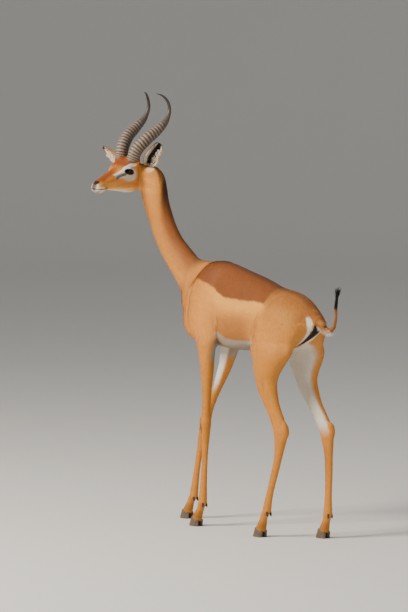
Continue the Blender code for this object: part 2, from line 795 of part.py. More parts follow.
def horn_line(side, shares):
    """Middle line of a horn in the design frame at shares of its length."""
    path = np.array([mirrored(p, side) for p in HORN_PATH])
    steps = np.linalg.norm(np.diff(path, axis=0), axis=1)
    knots = np.concatenate(((0,), np.cumsum(steps))) / steps.sum()
    return from_head(smooth_through(knots, path, shares).T)


def horn_rings(side, shares, bulge, extra=0.0):
    """Ring centres, directions and radii of a horn."""
    line = horn_line(side, shares)
    across, upward, _ = frames_along(line, head_axes()[0])
    taper = read_table(HORN_TAPER, shares)[0]
    radii = []
    for t, b in zip(taper, bulge):
        radii.append([r * t + b + extra for r in HORN_RADII])
    return line, across, upward, radii


def horn_shares():
    """Places along a horn: a groove and a ridge for each ring, then a smooth tip."""
    shares = [0.0]
    bulge = [0.0]
    crowded = np.linspace(0, 1, RING_COUNT + 1) ** (1 / RING_CROWDING)
    edges = RINGED_FROM + (RINGED_PART - RINGED_FROM) * crowded
    for k, (start, end) in enumerate(zip(edges[:-1], edges[1:])):
        height = RING_HEIGHT * (1 - 0.3 * k / RING_COUNT)
        shares += [start + (end - start) * 0.15, start + (end - start) * 0.58]
        bulge += [-height * 0.3, height]
    for t in np.linspace(RINGED_PART + 0.03, 1.0, 8):
        shares.append(t)
        bulge.append(0.0)
    return np.array(shares), np.array(bulge)


def make_horn(name, side):
    """A ringed horn that curves back, out and up, with a smooth tip hooked forwards."""
    shares, bulge = horn_shares()
    return tube(name, *horn_rings(side, shares, bulge), HORN_SIDES, KERATIN_HORN)


def horn_root(name, side, extra):
    """The buried root of a horn with a gap around it, as a cutter."""
    shares, bulge = horn_shares()
    line, across, upward, radii = horn_rings(side, shares[:5], bulge[:5], extra)
    line = line - (line[1] - line[0]) * np.array([[extra / 0.02]] + [[0.0]] * 4)
    return tube(name, line, across, upward, radii, HORN_SIDES)


def ear_frame(side):
    """Ear directions in the design frame: along it, across it and towards its back."""
    root = from_head(mirrored(EAR_ROOT, side))
    tip = from_head(EAR_TIP_LEFT if side > 0 else EAR_TIP_RIGHT)
    along = (tip - root) / np.linalg.norm(tip - root)
    opening = np.array((0.72, side * 0.50, -0.20)) @ head_axes()
    across = np.cross(along, opening)
    across = across / np.linalg.norm(across)
    return root, tip, along, across, -np.cross(across, along)


def ear_root(name, side, extra):
    """The solid root of an ear, or the socket for it."""
    root, tip, along, across, back = ear_frame(side)
    places = np.array((-EAR_SINK - extra, 0.010, 0.038))
    centres = [root + along * s for s in places]
    radii = [((EAR_ROOT_RADIUS - s * EAR_ROOT_TAPER) + extra,) * 2 for s in places]
    return tube(name, centres, [across] * 3, [back] * 3, radii, 12)


def make_ear(name, side):
    """A leaf-shaped ear: a thin cup that opens forwards and outwards."""
    root, tip, along, across, back = ear_frame(side)
    length = np.linalg.norm(tip - root)
    rows = 9
    columns = 7
    sheets = []
    for wall in (EAR_WALL / 2, -EAR_WALL / 2):
        for s in np.linspace(EAR_CUP_START, 1.0, rows):
            power = EAR_FOOT_TAPER if s < EAR_WIDEST else EAR_TIP_ROUNDING
            leaf = np.sin(np.pi * min(s, 0.995) ** 0.92) ** power
            half = max(EAR_HALF_WIDTH * leaf, EAR_LEAST_HALF_WIDTH)
            bend = np.radians(EAR_BEND_FOOT - EAR_BEND_LOSS * s)
            radius = half / np.sin(min(bend, np.pi / 2))
            middle = root + along * length * s - back * EAR_BOW * np.sin(np.pi * s)
            for k in range(columns):
                turn = bend * (2 * k / (columns - 1) - 1)
                reach = radius + wall * (1.0 - 0.45 * s)
                out = across * np.sin(turn) + back * np.cos(turn)
                sheets.append(middle + out * reach - back * radius * 0.35)
    grid = np.arange(2 * rows * columns).reshape(2, rows, columns)
    faces = []
    for i in range(rows - 1):
        for k in range(columns - 1):
            outer = (grid[0, i, k], grid[0, i, k + 1], grid[0, i + 1, k + 1], grid[0, i + 1, k])
            inner = (grid[1, i, k], grid[1, i + 1, k], grid[1, i + 1, k + 1], grid[1, i, k + 1])
            faces += [outer[:3], (outer[0], outer[2], outer[3])]
            faces += [(inner[0], inner[2], inner[3]), inner[:3]]
        for k in (0, columns - 1):
            faces.append((grid[0, i, k], grid[0, i + 1, k], grid[1, i + 1, k], grid[1, i, k]))
    for k in range(columns - 1):
        for i in (0, rows - 1):
            faces.append((grid[0, i, k], grid[0, i, k + 1], grid[1, i, k + 1], grid[1, i, k]))
    ear = new_object(name, sheets, faces, COAT_FACE)
    tidy_faces(ear)
    combine(ear, ear_root("root", side, 0.0), "UNION")
    return ear


def tail_line(shares):
    """Middle line and radius of the tail at shares of its length."""
    path = np.array(TAIL_PATH)
    steps = np.linalg.norm(np.diff(path, axis=0), axis=1)
    knots = np.concatenate(((0,), np.cumsum(steps))) / steps.sum()
    values = np.column_stack((path, TAIL_RADII))
    read = smooth_through(knots, values, shares)
    return read[:3].T, read[3]


def tail_cut(side):
    """Point and normal of the cut between croup and tail, facing the tail for side 1."""
    line, _ = tail_line(np.array((TAIL_CUT - 0.01, TAIL_CUT, TAIL_CUT + 0.01)))
    return line[1], (line[2] - line[0]) * side


def make_tail():
    """Tail that dips behind the rump and rises into a black tuft of locks."""
    shares = np.linspace(TAIL_CUT - 0.06, 1.0, 16)
    line, radius = tail_line(shares)
    across, upward, ways = frames_along(line, np.array((1.0, 0.0, 0.0)))
    tail = tube("tail", line, across, upward, [(r, r) for r in radius], 10, TAIL_BROWN)
    plane_cut(tail, *tail_cut(1))
    random = np.random.default_rng(7)
    for k in range(LOCK_COUNT):
        turn = 2 * np.pi * k * 0.382
        start = 0.72 + 0.27 * k / (LOCK_COUNT - 1)
        spot, thick = tail_line(np.array((start,)))
        row = int(np.argmin(np.abs(shares - start)))
        out = across[row] * np.cos(turn) + upward[row] * np.sin(turn)
        way = ways[row] * 0.96 + out * 0.10 + random.normal(0, 0.04, 3)
        combine(tail, lock("lock", spot[0] + out * thick[0] * 0.3, way, out), "UNION")
    return tail


def lock(name, root, way, out):
    """A flat tapered lock of hair that bends back towards the line it grows along."""
    way = way / np.linalg.norm(way)
    side = np.cross(way, out)
    side = side / np.linalg.norm(side)
    out = np.cross(side, way)
    centres = []
    radii = []
    for s in np.linspace(0, 1, 5):
        centres.append(root + way * LOCK_LENGTH * s - out * 0.010 * s * s)
        width = LOCK_HALF_WIDTH * (1 - s**1.8) + 0.0008
        radii.append((width, width * 0.45 + 0.0006))
    return tube(name, centres, [side] * 5, [out] * 5, radii, 4)


def coronet(foot, side_keep):
    """Point and normal of the slanting plane between a leg and its hooves."""
    at = (foot[0], foot[1], HOOF_TOP)
    return at, np.array((0, CORONET_SLOPE, 1.0)) * side_keep


def make_leg(name, field, joints, split_at, rule, triangles):
    """Upper and lower part of a leg, cut at the knee or hock."""
    side = np.sign(joints[1][0])
    spots = np.array(joints)
    reach = sorted(side * x for x in LEG_ROOM_SIDE)
    low = (reach[0], spots[:, 1].min() - LEG_ROOM_ALONG, LEG_ROOM_LOW)
    high = (reach[1], spots[:, 1].max() + LEG_ROOM_ALONG, LEG_ROOM_HIGH)
    upper = traced_object(name + "_upper", field, low, high, LEG_STEP, triangles, COAT_LEG)
    lower = bpy.data.objects.new(name + "_lower", upper.data.copy())
    bpy.context.scene.collection.objects.link(lower)
    at, facing = leg_cut(rule, side)
    plane_cut(upper, at, -np.array(facing))
    plane_cut(upper, (0, 0, split_at), (0, 0, 1))
    plane_cut(lower, (0, 0, split_at), (0, 0, -1))
    plane_cut(lower, *coronet(joints[-1], 1))
    return lower


def make_hoof(name, foot, step):
    """One toe of a cloven hoof: a wedge with a flat sole and a slanting top."""
    rows = 8
    points = []
    for level in (0, 1):
        for k in range(rows):
            turn = 2 * np.pi * k / rows
            ahead = np.cos(turn)
            along = HOOF_HALF_LENGTH * ahead * (1.0 if level == 0 else HOOF_NARROWING[0])
            shrink = HOOF_POINT if ahead > 0.9 else 1.0
            across = HOOF_HALF_WIDTH * np.sin(turn) * shrink * (1.0 if level == 0 else HOOF_NARROWING[1])
            y = foot[1] - along - (HOOF_LEAN if level == 0 else 0.0)
            z = 0.0 if level == 0 else HOOF_TOP - GAP - CORONET_SLOPE * (y - foot[1])
            points.append((foot[0] + step + across, y, z))
    faces = [list(range(rows)), list(range(rows, 2 * rows))[::-1]]
    for k in range(rows):
        j = (k + 1) % rows
        faces.append((k, k + rows, j + rows, j))
    hoof = new_object(name, points, faces, KERATIN_HOOF)
    tidy_faces(hoof)
    return hoof


def dewclaw(name, joints, step, extra, colour=None):
    """A small claw behind the fetlock, or its socket."""
    spot = np.array(joints[3]) + (step, *DEWCLAW_AT)
    way = np.array((step * DEWCLAW_SPREAD, *DEWCLAW_WAY))
    way = way / np.linalg.norm(way)
    across, upward, _ = frames_along(np.stack((spot, spot + way)), np.array((1.0, 0, 0)))
    centres = [spot - way * extra, spot + way * DEWCLAW_LENGTH * 0.6, spot + way * DEWCLAW_LENGTH]
    radii = [(DEWCLAW_RADIUS * t + extra,) * 2 for t in (1.0, 0.9, 0.4)]
    return tube(name, centres, [across[0]] * 3, [upward[0]] * 3, radii, 6, colour)


def make_foot(name, joints, lower_leg):
    """Two toes and two dewclaws of one foot."""
    foot = joints[-1]
    for toe, step in (("left", TOE_STEP), ("right", -TOE_STEP)):
        make_hoof("hoof_" + name + "_" + toe, foot, step)
        claw_step = step * DEWCLAW_STEP_SHARE
        combine(lower_leg, dewclaw("socket", joints, claw_step, GAP), "DIFFERENCE")
        dewclaw("dewclaw_" + name + "_" + toe, joints, claw_step, 0.0, KERATIN_HOOF)


def make_legs():
    """All four legs with their feet."""
    fore = (("left", FORE_LEFT), ("right", FORE_RIGHT))
    hind = (("left", HIND_LEFT), ("right", HIND_RIGHT))
    for side, joints in fore:
        lower = make_leg(
            "foreleg_" + side, body_field, joints, joints[2][2] + KNEE_CUT_STEP, FORE_CUT, FORELEG_TRIANGLES
        )
        make_foot("fore_" + side, joints, lower)
    for side, joints in hind:
        lower = make_leg(
            "hindleg_" + side, body_field, joints, joints[2][2] + HOCK_CUT_STEP, HIND_CUT, HINDLEG_TRIANGLES
        )
        make_foot("hind_" + side, joints, lower)


def main():
    """Clear the scene and build every part of the animal."""
    for thing in list(bpy.data.objects):
        bpy.data.objects.remove(thing)
    make_torso()
    make_neck()
    make_head()
    for name, side in (("left", 1), ("right", -1)):
        eyeball("eye_" + name, side, 0.0, EYE_DARK)
        make_horn("horn_" + name, side)
        make_ear("ear_" + name, side)
    make_tail()
    make_legs()


main()
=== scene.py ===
"""Looks of the gerenuk: one skin under short flat hair, ringed horns, wet eyes and worn hooves.

Metres, +Z up. Body shapes are smooth solid fields in a design frame, as in the part's source:
a point is inside where the field is negative. Markings and the lie of the hair are functions
of place on the body, shared by the skin and by the tufts that grow from it.
"""

import bmesh
import bpy
import numpy as np
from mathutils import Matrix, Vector


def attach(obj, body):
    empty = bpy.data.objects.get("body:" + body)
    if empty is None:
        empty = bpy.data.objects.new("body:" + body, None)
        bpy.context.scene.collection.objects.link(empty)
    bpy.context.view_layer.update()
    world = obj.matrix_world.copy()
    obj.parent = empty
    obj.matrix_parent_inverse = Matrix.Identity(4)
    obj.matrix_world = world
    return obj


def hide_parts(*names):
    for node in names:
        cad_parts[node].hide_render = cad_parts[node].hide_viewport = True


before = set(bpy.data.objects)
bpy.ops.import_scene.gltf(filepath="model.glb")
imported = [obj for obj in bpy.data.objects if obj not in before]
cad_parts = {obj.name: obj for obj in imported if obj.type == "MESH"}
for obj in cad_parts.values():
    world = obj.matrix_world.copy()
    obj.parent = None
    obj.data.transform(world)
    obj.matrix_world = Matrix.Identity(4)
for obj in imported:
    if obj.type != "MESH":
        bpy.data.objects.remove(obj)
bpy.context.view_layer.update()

# Place of the design frame in the part's frame
SHIFT = np.array((-0.0967, -0.1693, 0.0))

# Trunk: along the back (y), height of back, height of belly, half width, narrowing upwards
TRUNK = (
    (-0.080, 0.885, 0.822, 0.020, 0.10),
    (-0.060, 0.945, 0.782, 0.052, 0.15),
    (-0.015, 0.993, 0.734, 0.076, 0.28),
    (0.060, 1.012, 0.700, 0.089, 0.36),
    (0.150, 1.010, 0.684, 0.101, 0.30),
    (0.260, 0.982, 0.680, 0.106, 0.20),
    (0.360, 0.955, 0.690, 0.101, 0.18),
    (0.450, 0.924, 0.704, 0.094, 0.26),
    (0.530, 0.908, 0.718, 0.086, 0.32),
    (0.580, 0.888, 0.735, 0.072, 0.34),
    (0.620, 0.858, 0.757, 0.052, 0.30),
    (0.655, 0.824, 0.780, 0.028, 0.10),
)
# Share of the height where the trunk is widest, and how square its rings are (2 is an ellipse)
BELLY_SHARE = 0.46
TRUNK_SQUARENESS = 2.3
# Swellings on each side: centre, radii, lean in degrees, width of the blend
TRUNK_BUMPS = (
    ((0.052, 0.062, 0.880), (0.040, 0.060, 0.125), 22, 0.035),  # shoulder blade
    ((0.062, 0.050, 0.790), (0.034, 0.072, 0.058), -28, 0.040),  # upper arm
    ((0.056, 0.486, 0.785), (0.048, 0.098, 0.100), -18, 0.045),  # haunch
)
# Neck: height, side shift, fore shift, half width, half depth
NECK = (
    (0.860, 0.000, 0.000, 0.062, 0.085),
    (0.930, 0.003, -0.048, 0.060, 0.092),
    (0.980, 0.008, -0.092, 0.055, 0.094),
    (1.034, 0.018, -0.136, 0.050, 0.086),
    (1.091, 0.033, -0.172, 0.045, 0.070),
    (1.141, 0.045, -0.190, 0.042, 0.064),
    (1.187, 0.055, -0.202, 0.042, 0.064),
    (1.233, 0.063, -0.212, 0.042, 0.064),
    (1.280, 0.069, -0.219, 0.043, 0.067),
    (1.320, 0.072, -0.229, 0.044, 0.067),
    (1.372, 0.077, -0.240, 0.037, 0.047),
)
NECK_TOP_ROUNDING = 0.040
# Foreleg thickness: level (0 elbow, 1 knee, 2 fetlock, 3 hoof top), half side, half depth
FORE_THICKNESS = (
    (-0.40, 0.028, 0.060),
    (0.00, 0.031, 0.048),
    (0.20, 0.028, 0.035),
    (0.38, 0.024, 0.029),
    (0.56, 0.019, 0.022),
    (0.85, 0.0175, 0.0190),
    (1.00, 0.0205, 0.0225),
    (1.14, 0.0180, 0.0195),
    (1.32, 0.0130, 0.0165),
    (1.75, 0.0125, 0.0155),
    (1.90, 0.0145, 0.0180),
    (2.00, 0.0160, 0.0195),
    (2.35, 0.0150, 0.0160),
    (3.00, 0.0205, 0.0215),
)
# Hind leg thickness: level (0 stifle, 1 hock, 2 fetlock, 3 hoof top), half side, half depth
HIND_THICKNESS = (
    (-0.45, 0.040, 0.100),
    (-0.15, 0.045, 0.108),
    (0.00, 0.044, 0.090),
    (0.14, 0.040, 0.070),
    (0.28, 0.035, 0.053),
    (0.45, 0.029, 0.047),
    (0.62, 0.023, 0.040),
    (0.80, 0.0205, 0.0385),
    (1.00, 0.0205, 0.0355),
    (1.12, 0.0185, 0.0280),
    (1.25, 0.0150, 0.0215),
    (1.50, 0.0125, 0.0185),
    (1.80, 0.0120, 0.0170),
    (2.00, 0.0155, 0.0195),
    (2.40, 0.0150, 0.0160),
    (3.00, 0.0205, 0.0215),
)
# Joints of each leg from top to hoof: side, fore, height
FORE_LEFT = (
    (0.072, 0.075, 0.830),
    (0.083, 0.111, 0.705),
    (0.072, 0.096, 0.400),
    (0.062, 0.066, 0.095),
    (0.060, 0.030, 0.032),
)
FORE_RIGHT = (
    (-0.072, 0.070, 0.820),
    (-0.083, 0.058, 0.690),
    (-0.072, -0.075, 0.388),
    (-0.062, -0.136, 0.090),
    (-0.060, -0.170, 0.032),
)
HIND_LEFT = (
    (0.066, 0.505, 0.810),
    (0.086, 0.483, 0.666),
    (0.080, 0.535, 0.392),
    (0.080, 0.457, 0.100),
    (0.078, 0.422, 0.032),
)
HIND_RIGHT = (
    (-0.066, 0.505, 0.810),
    (-0.086, 0.488, 0.660),
    (-0.080, 0.610, 0.392),
    (-0.080, 0.617, 0.095),
    (-0.078, 0.598, 0.032),
)
# Bow of each leg between its two upper joints, to the rear or, where negative, forwards
FORE_BOW = 0.004
HIND_LEFT_BOW = -0.040
HIND_RIGHT_BOW = -0.031
BOW_SKEW = 0.85
BOW_POWER = 1.3
# Top of each leg inside the trunk, and the overlap of its foot with the hoof
LEG_TOP_OVERLAP = 0.02
LEG_TOP_ROUNDING = 0.060
CORONET_OVERLAP = 0.004
# Bumps of the joints: step from the joint, radii, width of the blend
ELBOW = ((0, 0.030, 0.006), (0.020, 0.022, 0.026), 0.014)
KNEE = ((0, -0.004, 0.0), (0.0195, 0.0205, 0.026), 0.010)
HOCK_POINT = ((0, 0.026, 0.016), (0.0125, 0.0125, 0.026), 0.012)
HOCK_LEAN = -12

# Head frame: middle between the eyes, turn to the left from straight ahead, and roll
HEAD_AT = np.array((0.180, -0.282, 1.346))
HEAD_TURN = np.radians(95.0)
HEAD_ROLL = np.radians(5.0)
# Head: along to the nose, height of top, height of underside, half width, widening upwards
HEAD = (
    (-0.105, 0.012, -0.045, 0.024, 0.00),
    (-0.085, 0.036, -0.066, 0.034, 0.05),
    (-0.060, 0.046, -0.078, 0.039, 0.12),
    (-0.030, 0.052, -0.080, 0.041, 0.20),
    (0.000, 0.042, -0.076, 0.041, 0.26),
    (0.025, 0.020, -0.073, 0.036, 0.24),
    (0.050, 0.005, -0.071, 0.0295, 0.16),
    (0.080, -0.010, -0.070, 0.0245, 0.06),
    (0.098, -0.019, -0.073, 0.0215, 0.00),
    (0.116, -0.027, -0.080, 0.0205, -0.04),
    (0.130, -0.034, -0.078, 0.0165, -0.04),
    (0.140, -0.047, -0.069, 0.0080, 0.00),
)
HEAD_SQUARENESS = 2.4
MUZZLE_ROUNDING = 0.024
# Left eye: ball, way it looks, tilt of the slit, half length and half height of the opening
EYE_AT = np.array((-0.005, 0.0340, 0.003))
EYE_RADIUS = 0.0180
# Play between the ball and the lids, and rise of the cornea in radii of the ball
BALL_PLAY = 0.0009
CORNEA_RISE = 0.045
EYE_OUT = (0.34, 0.93, 0.10)
SLIT_TILT = 0.16
EYE_OPENING = (0.0172, 0.0088)
# The opening is cut in to this share of the ball's radius from its middle
SOCKET_FLOOR = 0.55
LID_THICKNESS = 0.0022
LID_BLEND = 0.006
LID_EDGE = 0.0012
# Fold over the upper lid: depth, how far out in sizes of the opening, width
LID_FOLD = (0.0012, 1.55, 0.14)
# Hollow of the tear gland: depth, centre, radii
TEAR_GLAND = (0.0022, (0.044, 0.029, -0.014), (0.012, 0.02, 0.006))
NOSTRIL_AT = (0.1320, 0.0110, -0.0405)
NOSTRIL_RADII = (0.0074, 0.0050, 0.0031)
NOSTRIL_SLANT = np.radians(28)
NOSTRIL_EDGE = 0.002
# Line of the mouth: its height behind the lips, its rise to the rear, groove and corner
LIP_HEIGHT = -0.0640
LIP_RISE = 0.10
LIP_FRONT = 0.120
LIP_LINE_DEPTH = 0.0030
LIP_LINE_HALF = 0.0010
MOUTH_CORNER = 0.090
MOUTH_FADE = 0.012
# Creases on each side of the face: depth, half width, points. Negative depths are ridges.
FACE_CREASES = (
    (-0.0016, 0.007, ((-0.045, 0.041, -0.018), (0.020, 0.036, -0.026), (0.075, 0.024, -0.032))),
    (0.0012, 0.006, ((-0.060, 0.036, -0.030), (-0.046, 0.034, -0.058), (-0.015, 0.030, -0.068))),
    (0.0010, 0.010, ((0.060, 0.027, -0.040), (0.095, 0.022, -0.046))),
)

# Horn: points of its middle line in the head frame, for the left horn
HORN_PATH = (
    (-0.026, 0.030, 0.040),
    (-0.039, 0.039, 0.086),
    (-0.074, 0.053, 0.128),
    (-0.128, 0.060, 0.167),
    (-0.169, 0.060, 0.204),
    (-0.184, 0.058, 0.245),
    (-0.172, 0.054, 0.279),
    (-0.153, 0.045, 0.297),
    (-0.132, 0.034, 0.304),
)
# Thickness of a horn along its length, as shares of its base
HORN_TAPER = (
    (0.00, 1.00), (0.30, 0.94), (0.45, 0.79), (0.58, 0.57),
    (0.68, 0.36), (0.80, 0.25), (0.92, 0.16), (1.00, 0.05),
)
HORN_RADII = (0.0225, 0.0255)
HORN_ROWS = 420
HORN_SIDES = 48
# Rings: number, share of the horn that has them, how they crowd to its foot, height
RING_COUNT = 18
RINGED_PART = 0.60
RING_CROWDING = 0.76
RING_HEIGHT = 0.0024

# Ear: root of the left ear in the head frame, tips of both, way the cup opens, size, wall
EAR_ROOT = np.array((-0.096, 0.038, 0.014))
EAR_TIP_LEFT = np.array((-0.066, 0.136, 0.121))
EAR_TIP_RIGHT = np.array((-0.046, -0.158, 0.080))
EAR_OPENING = (0.72, 0.50, -0.20)
EAR_HALF_WIDTH = 0.0272
EAR_WALL = 0.0022
EAR_GRID = (44, 29)
EAR_CUP_START = 0.10
EAR_WIDEST = 0.50
# Outline of the ear: power of its curve below and above the widest place, skew of that place
EAR_OUTLINE = (1.3, 0.45)
EAR_SKEW = 0.92
EAR_LEAST_HALF_WIDTH = 0.0015
# Bend of the cup at its root in degrees and what it loses to the tip, bow of its middle line
EAR_BEND = (100, 45)
EAR_BOW = 0.012
# Round stem of an ear: length, radius at its foot, what it loses to its top
EAR_STEM = (0.024, 0.0135, 0.0035)
# Room for an ear beside the head: its centre along the ear, radii
EAR_ROOM_AT = 0.052
EAR_ROOM_RADII = (0.036, 0.037, 0.034)

# Swellings of the skull on each side: centre and radii
SKULL_BUMPS = (
    ((-0.003, 0.031, 0.005), (0.029, 0.017, 0.024)),  # brow
    ((-0.040, 0.024, -0.034), (0.040, 0.020, 0.036)),  # cheek
    ((-0.032, 0.030, 0.046), (0.029, 0.026, 0.021)),  # seat of the horn
    (EAR_ROOT, (0.018, 0.016, 0.016)),  # seat of the ear
    ((0.114, 0.010, -0.060), (0.022, 0.0125, 0.014)),  # lip
)
SKULL_BLEND = 0.014

# Tail: points of its middle line, radius there
TAIL_PATH = (
    (0.000, 0.632, 0.826),
    (0.001, 0.664, 0.797),
    (0.003, 0.702, 0.781),
    (0.006, 0.740, 0.791),
    (0.008, 0.754, 0.825),
    (0.008, 0.755, 0.870),
    (0.008, 0.761, 0.905),
)
TAIL_RADII = (0.019, 0.0140, 0.0085, 0.0052, 0.0042, 0.0036, 0.0020)

# Hoof: half length, half width of one toe, its side step from the middle, height in front
HOOF_HALF_LENGTH = 0.027
HOOF_HALF_WIDTH = 0.0100
TOE_STEP = 0.0108
HOOF_TOP = 0.030
CORONET_SLOPE = 0.30
# Taper of a toe up to its coronet, in length and width; narrowing to its point, share of the
# half width on its inner side, turn of the point inwards, step of the sole to the front
HOOF_TAPER = (0.22, 0.08)
TOE_POINT = 0.45
TOE_INNER_SIDE = 0.80
TOE_TURN_IN = 0.0012
SOLE_AHEAD = 0.008
HOOF_SIDES = 40
# Rings of a toe from sole to coronet: level, share of its size
HOOF_RINGS = (
    (0.0, 0.86), (0.0, 0.97), (0.03, 1.0), (0.10, 1.0), (0.25, 0.99),
    (0.45, 0.98), (0.65, 0.98), (0.85, 0.99), (0.97, 0.97), (1.0, 0.90),
)
# Dewclaw: step to its side from the fetlock's middle, steps to the rear and up, way it points
DEWCLAW_STEP = 0.0085
DEWCLAW_FROM_FETLOCK = (0.0105, -0.006)
DEWCLAW_WAY = (0.26, -0.96)
DEWCLAW_LENGTH = 0.014
DEWCLAW_RADIUS = 0.0052

# Cut between shoulders and neck, where the lie of the hair turns
NECK_CUT_AT = np.array((0.0, -0.040, 0.935))
NECK_CUT_FACING = np.array((0.0, -0.757, 0.656))
NECK_CUT_FADE = (-0.015, 0.045)
# Cut between neck and head, in the head frame: facing along and up, how far behind the eyes,
# depth of the soft change, and the heights between which it fades in
HEAD_CUT_FACING = (0.814, 0.581)
HEAD_CUT_BACK = 0.105
HEAD_CUT_DEPTH = 0.045
HEAD_CUT_HEIGHTS = (1.235, 1.262)
# The nape turns with the neck between these heights, by this angle
NAPE_TURN_HEIGHTS = (1.12, 1.36)
NAPE_TURN = np.radians(42)

# Patterns, in repeats to a metre. Hairs under 1 mm wide are drawn coarser, so that they show.
HAIR_STREAKS = 620.0  # 1.6 mm
HAIR_STREAK_STRETCH = 7  # streaks 11 mm long
COAT_PATCHES = 38.0  # 26 mm, bunches of hair
TUFT_TONES = 900.0  # 1.1 mm, one tone for each hair or two
HORN_FIBRES = 420.0  # 2.4 mm, coarser than keratin fibres so that they show
HORN_STAINS = 110.0  # 9 mm
HOOF_LINES = 90.0  # waves 3.5 mm apart
HOOF_WEAR = 160.0  # 6 mm
PAPER_GRAIN = 900.0  # 1.1 mm, coarser than paper fibre
IRIS_FIBRES = 9.0  # to a radius of the eye: 2 mm

# Depth of the coat over the skin, on the body and on the face and feet
COAT_DEPTH = 0.0022
FACE_COAT_DEPTH = 0.0008
# Level below the chin where the fine mesh of the head meets the mesh of the body
CHIN_LEVEL = 1.243
CHIN_GAP = 0.0015
# Boxes and steps of the two meshes. The level below the chin closes each box.
BODY_BOX = ((-0.16, -0.40, 0.008), (0.22, 0.73))
HEAD_BOX = ((0.0, -0.50), (0.345, -0.11, 1.44))
BODY_STEP = 0.0038
HEAD_STEP = 0.0016

# Camera: distance, turn and height of the photograph's view, and what it looks at
CAMERA_DISTANCE = 12.0
CAMERA_TURN = np.radians(50.0)
CAMERA_ELEVATION = np.radians(3.5)
CAMERA_AIM = np.array((0.0, 0.0, 0.836))
FRAME_HEIGHT_PIXELS = 612
PIXELS_PER_METRE = 262.0
SENSOR_WIDTH = 36.0


def linear(code):
    """Linear colour of an sRGB hex value."""
    parts = np.array([int(code[i:i + 2], 16) for i in (1, 3, 5)]) / 255
    return np.where(parts <= 0.04045, parts / 12.92, ((parts + 0.055) / 1.055) ** 2.4)


# Colours of the hair coat and bare skin
TAN = linear("#DB9241")
TAN_PALE = linear("#F3B352")
FLANK_BROWN = linear("#B06F33")
SADDLE = linear("#8A4D22")
SPINE = linear("#6F4329")
NAPE_RUFOUS = linear("#9C5B2B")
NAPE_DARK = linear("#553217")
LEG_TAN = linear("#D78C34")
CROUP = linear("#AE682F")
WHITE_HAIR = linear("#F2EADB")
GREY_HAIR = linear("#C9C0B2")
RUFOUS_FACE = linear("#984A12")
MUZZLE_TAN = linear("#CC8233")
BLACK_HAIR = linear("#15100C")
DARK_SKIN = linear("#1D1714")
NOSE_SKIN = linear("#3A312C")
KNEE_BROWN = linear("#7A4A22")
TAIL_BROWN = linear("#B5702E")


def smooth_through(knots, values, t):
    """Read columns of values off a smooth curve that passes through them at the knots."""
    knots = np.asarray(knots, float)
    values = np.asarray(values, float)
    slopes = np.gradient(values, knots, axis=0)
    t = np.clip(t, knots[0], knots[-1])
    first = np.clip(np.searchsorted(knots, t) - 1, 0, len(knots) - 2)
    width = (knots[first + 1] - knots[first])[:, None]
    s = (t - knots[first])[:, None] / width
    near = values[first] * (1 + 2 * s) * (1 - s) ** 2 + slopes[first] * width * s * (1 - s) ** 2
    far = values[first + 1] * s**2 * (3 - 2 * s) - slopes[first + 1] * width * s**2 * (1 - s)
    return (near + far).T


def read_table(table, t):
    """Read all but the first column of a table at the places t of its first column."""
    rows = np.asarray(table, float)
    return smooth_through(rows[:, 0], rows[:, 1:], t)


def blend(a, b, width):
    """Smooth union of two fields."""
    share = np.clip(0.5 + 0.5 * (b - a) / width, 0, 1)
    return b + (a - b) * share - width * share * (1 - share)


def carve(body, tool, width):
    """Smooth difference of two fields."""
    return -blend(-body, tool, width)


def ramp(value, start, end):
    """Smooth step from 0 at start to 1 at end."""
    t = np.clip((value - start) / (end - start), 0, 1)
    return t * t * (3 - 2 * t)


def unit(v):
    """Vectors of length one."""
    v = np.asarray(v, float)
    return v / np.maximum(np.linalg.norm(v, axis=-1, keepdims=True), 1e-9)


def ellipsoid(p, centre, radii, axes=None):
    """Field of an ellipsoid, turned so that its axes are the rows of axes."""
    q = p - np.asarray(centre)
    if axes is not None:
        q = q @ np.asarray(axes).T
    q = q / np.asarray(radii)
    return (np.linalg.norm(q, axis=1) - 1) * min(radii)


def pitched(degrees):
    """Axes turned about X, so that the long Z axis leans towards +Y by the angle."""
    lean = np.radians(degrees)
    return ((1, 0, 0), (0, np.cos(lean), -np.sin(lean)), (0, np.sin(lean), np.cos(lean)))


def mirrored(point, side):
    """A point of the left side, or its mirror image on the right for side -1."""
    return np.asarray(point, float) * (1, side, 1)


def folded(points, axis):
    """Points with those of the right side laid over those of the left, across an axis."""
    points = np.array(points)
    points[:, axis] = np.abs(points[:, axis])
    return points


def distance_to_line(p, points):
    """Distance of points to a bent line."""
    points = np.asarray(points, float)
    nearest = np.full(len(p), 9.0)
    for a, b in zip(points[:-1], points[1:]):
        way = b - a
        share = np.clip((p - a) @ way / (way @ way), 0, 1)
        nearest = np.minimum(nearest, np.linalg.norm(p - a - share[:, None] * way, axis=1))
    return nearest


def crease(p, points, width):
    """1 on a bent line, with a soft fall to 0 beside it."""
    return np.exp(-((distance_to_line(p, points) / width) ** 2))


def squared_ring(across, level, power):
    """Reach of points in a ring that is squarer than an ellipse: 1 on the ring."""
    return (np.abs(across) ** power + np.abs(level) ** power) ** (1 / power)


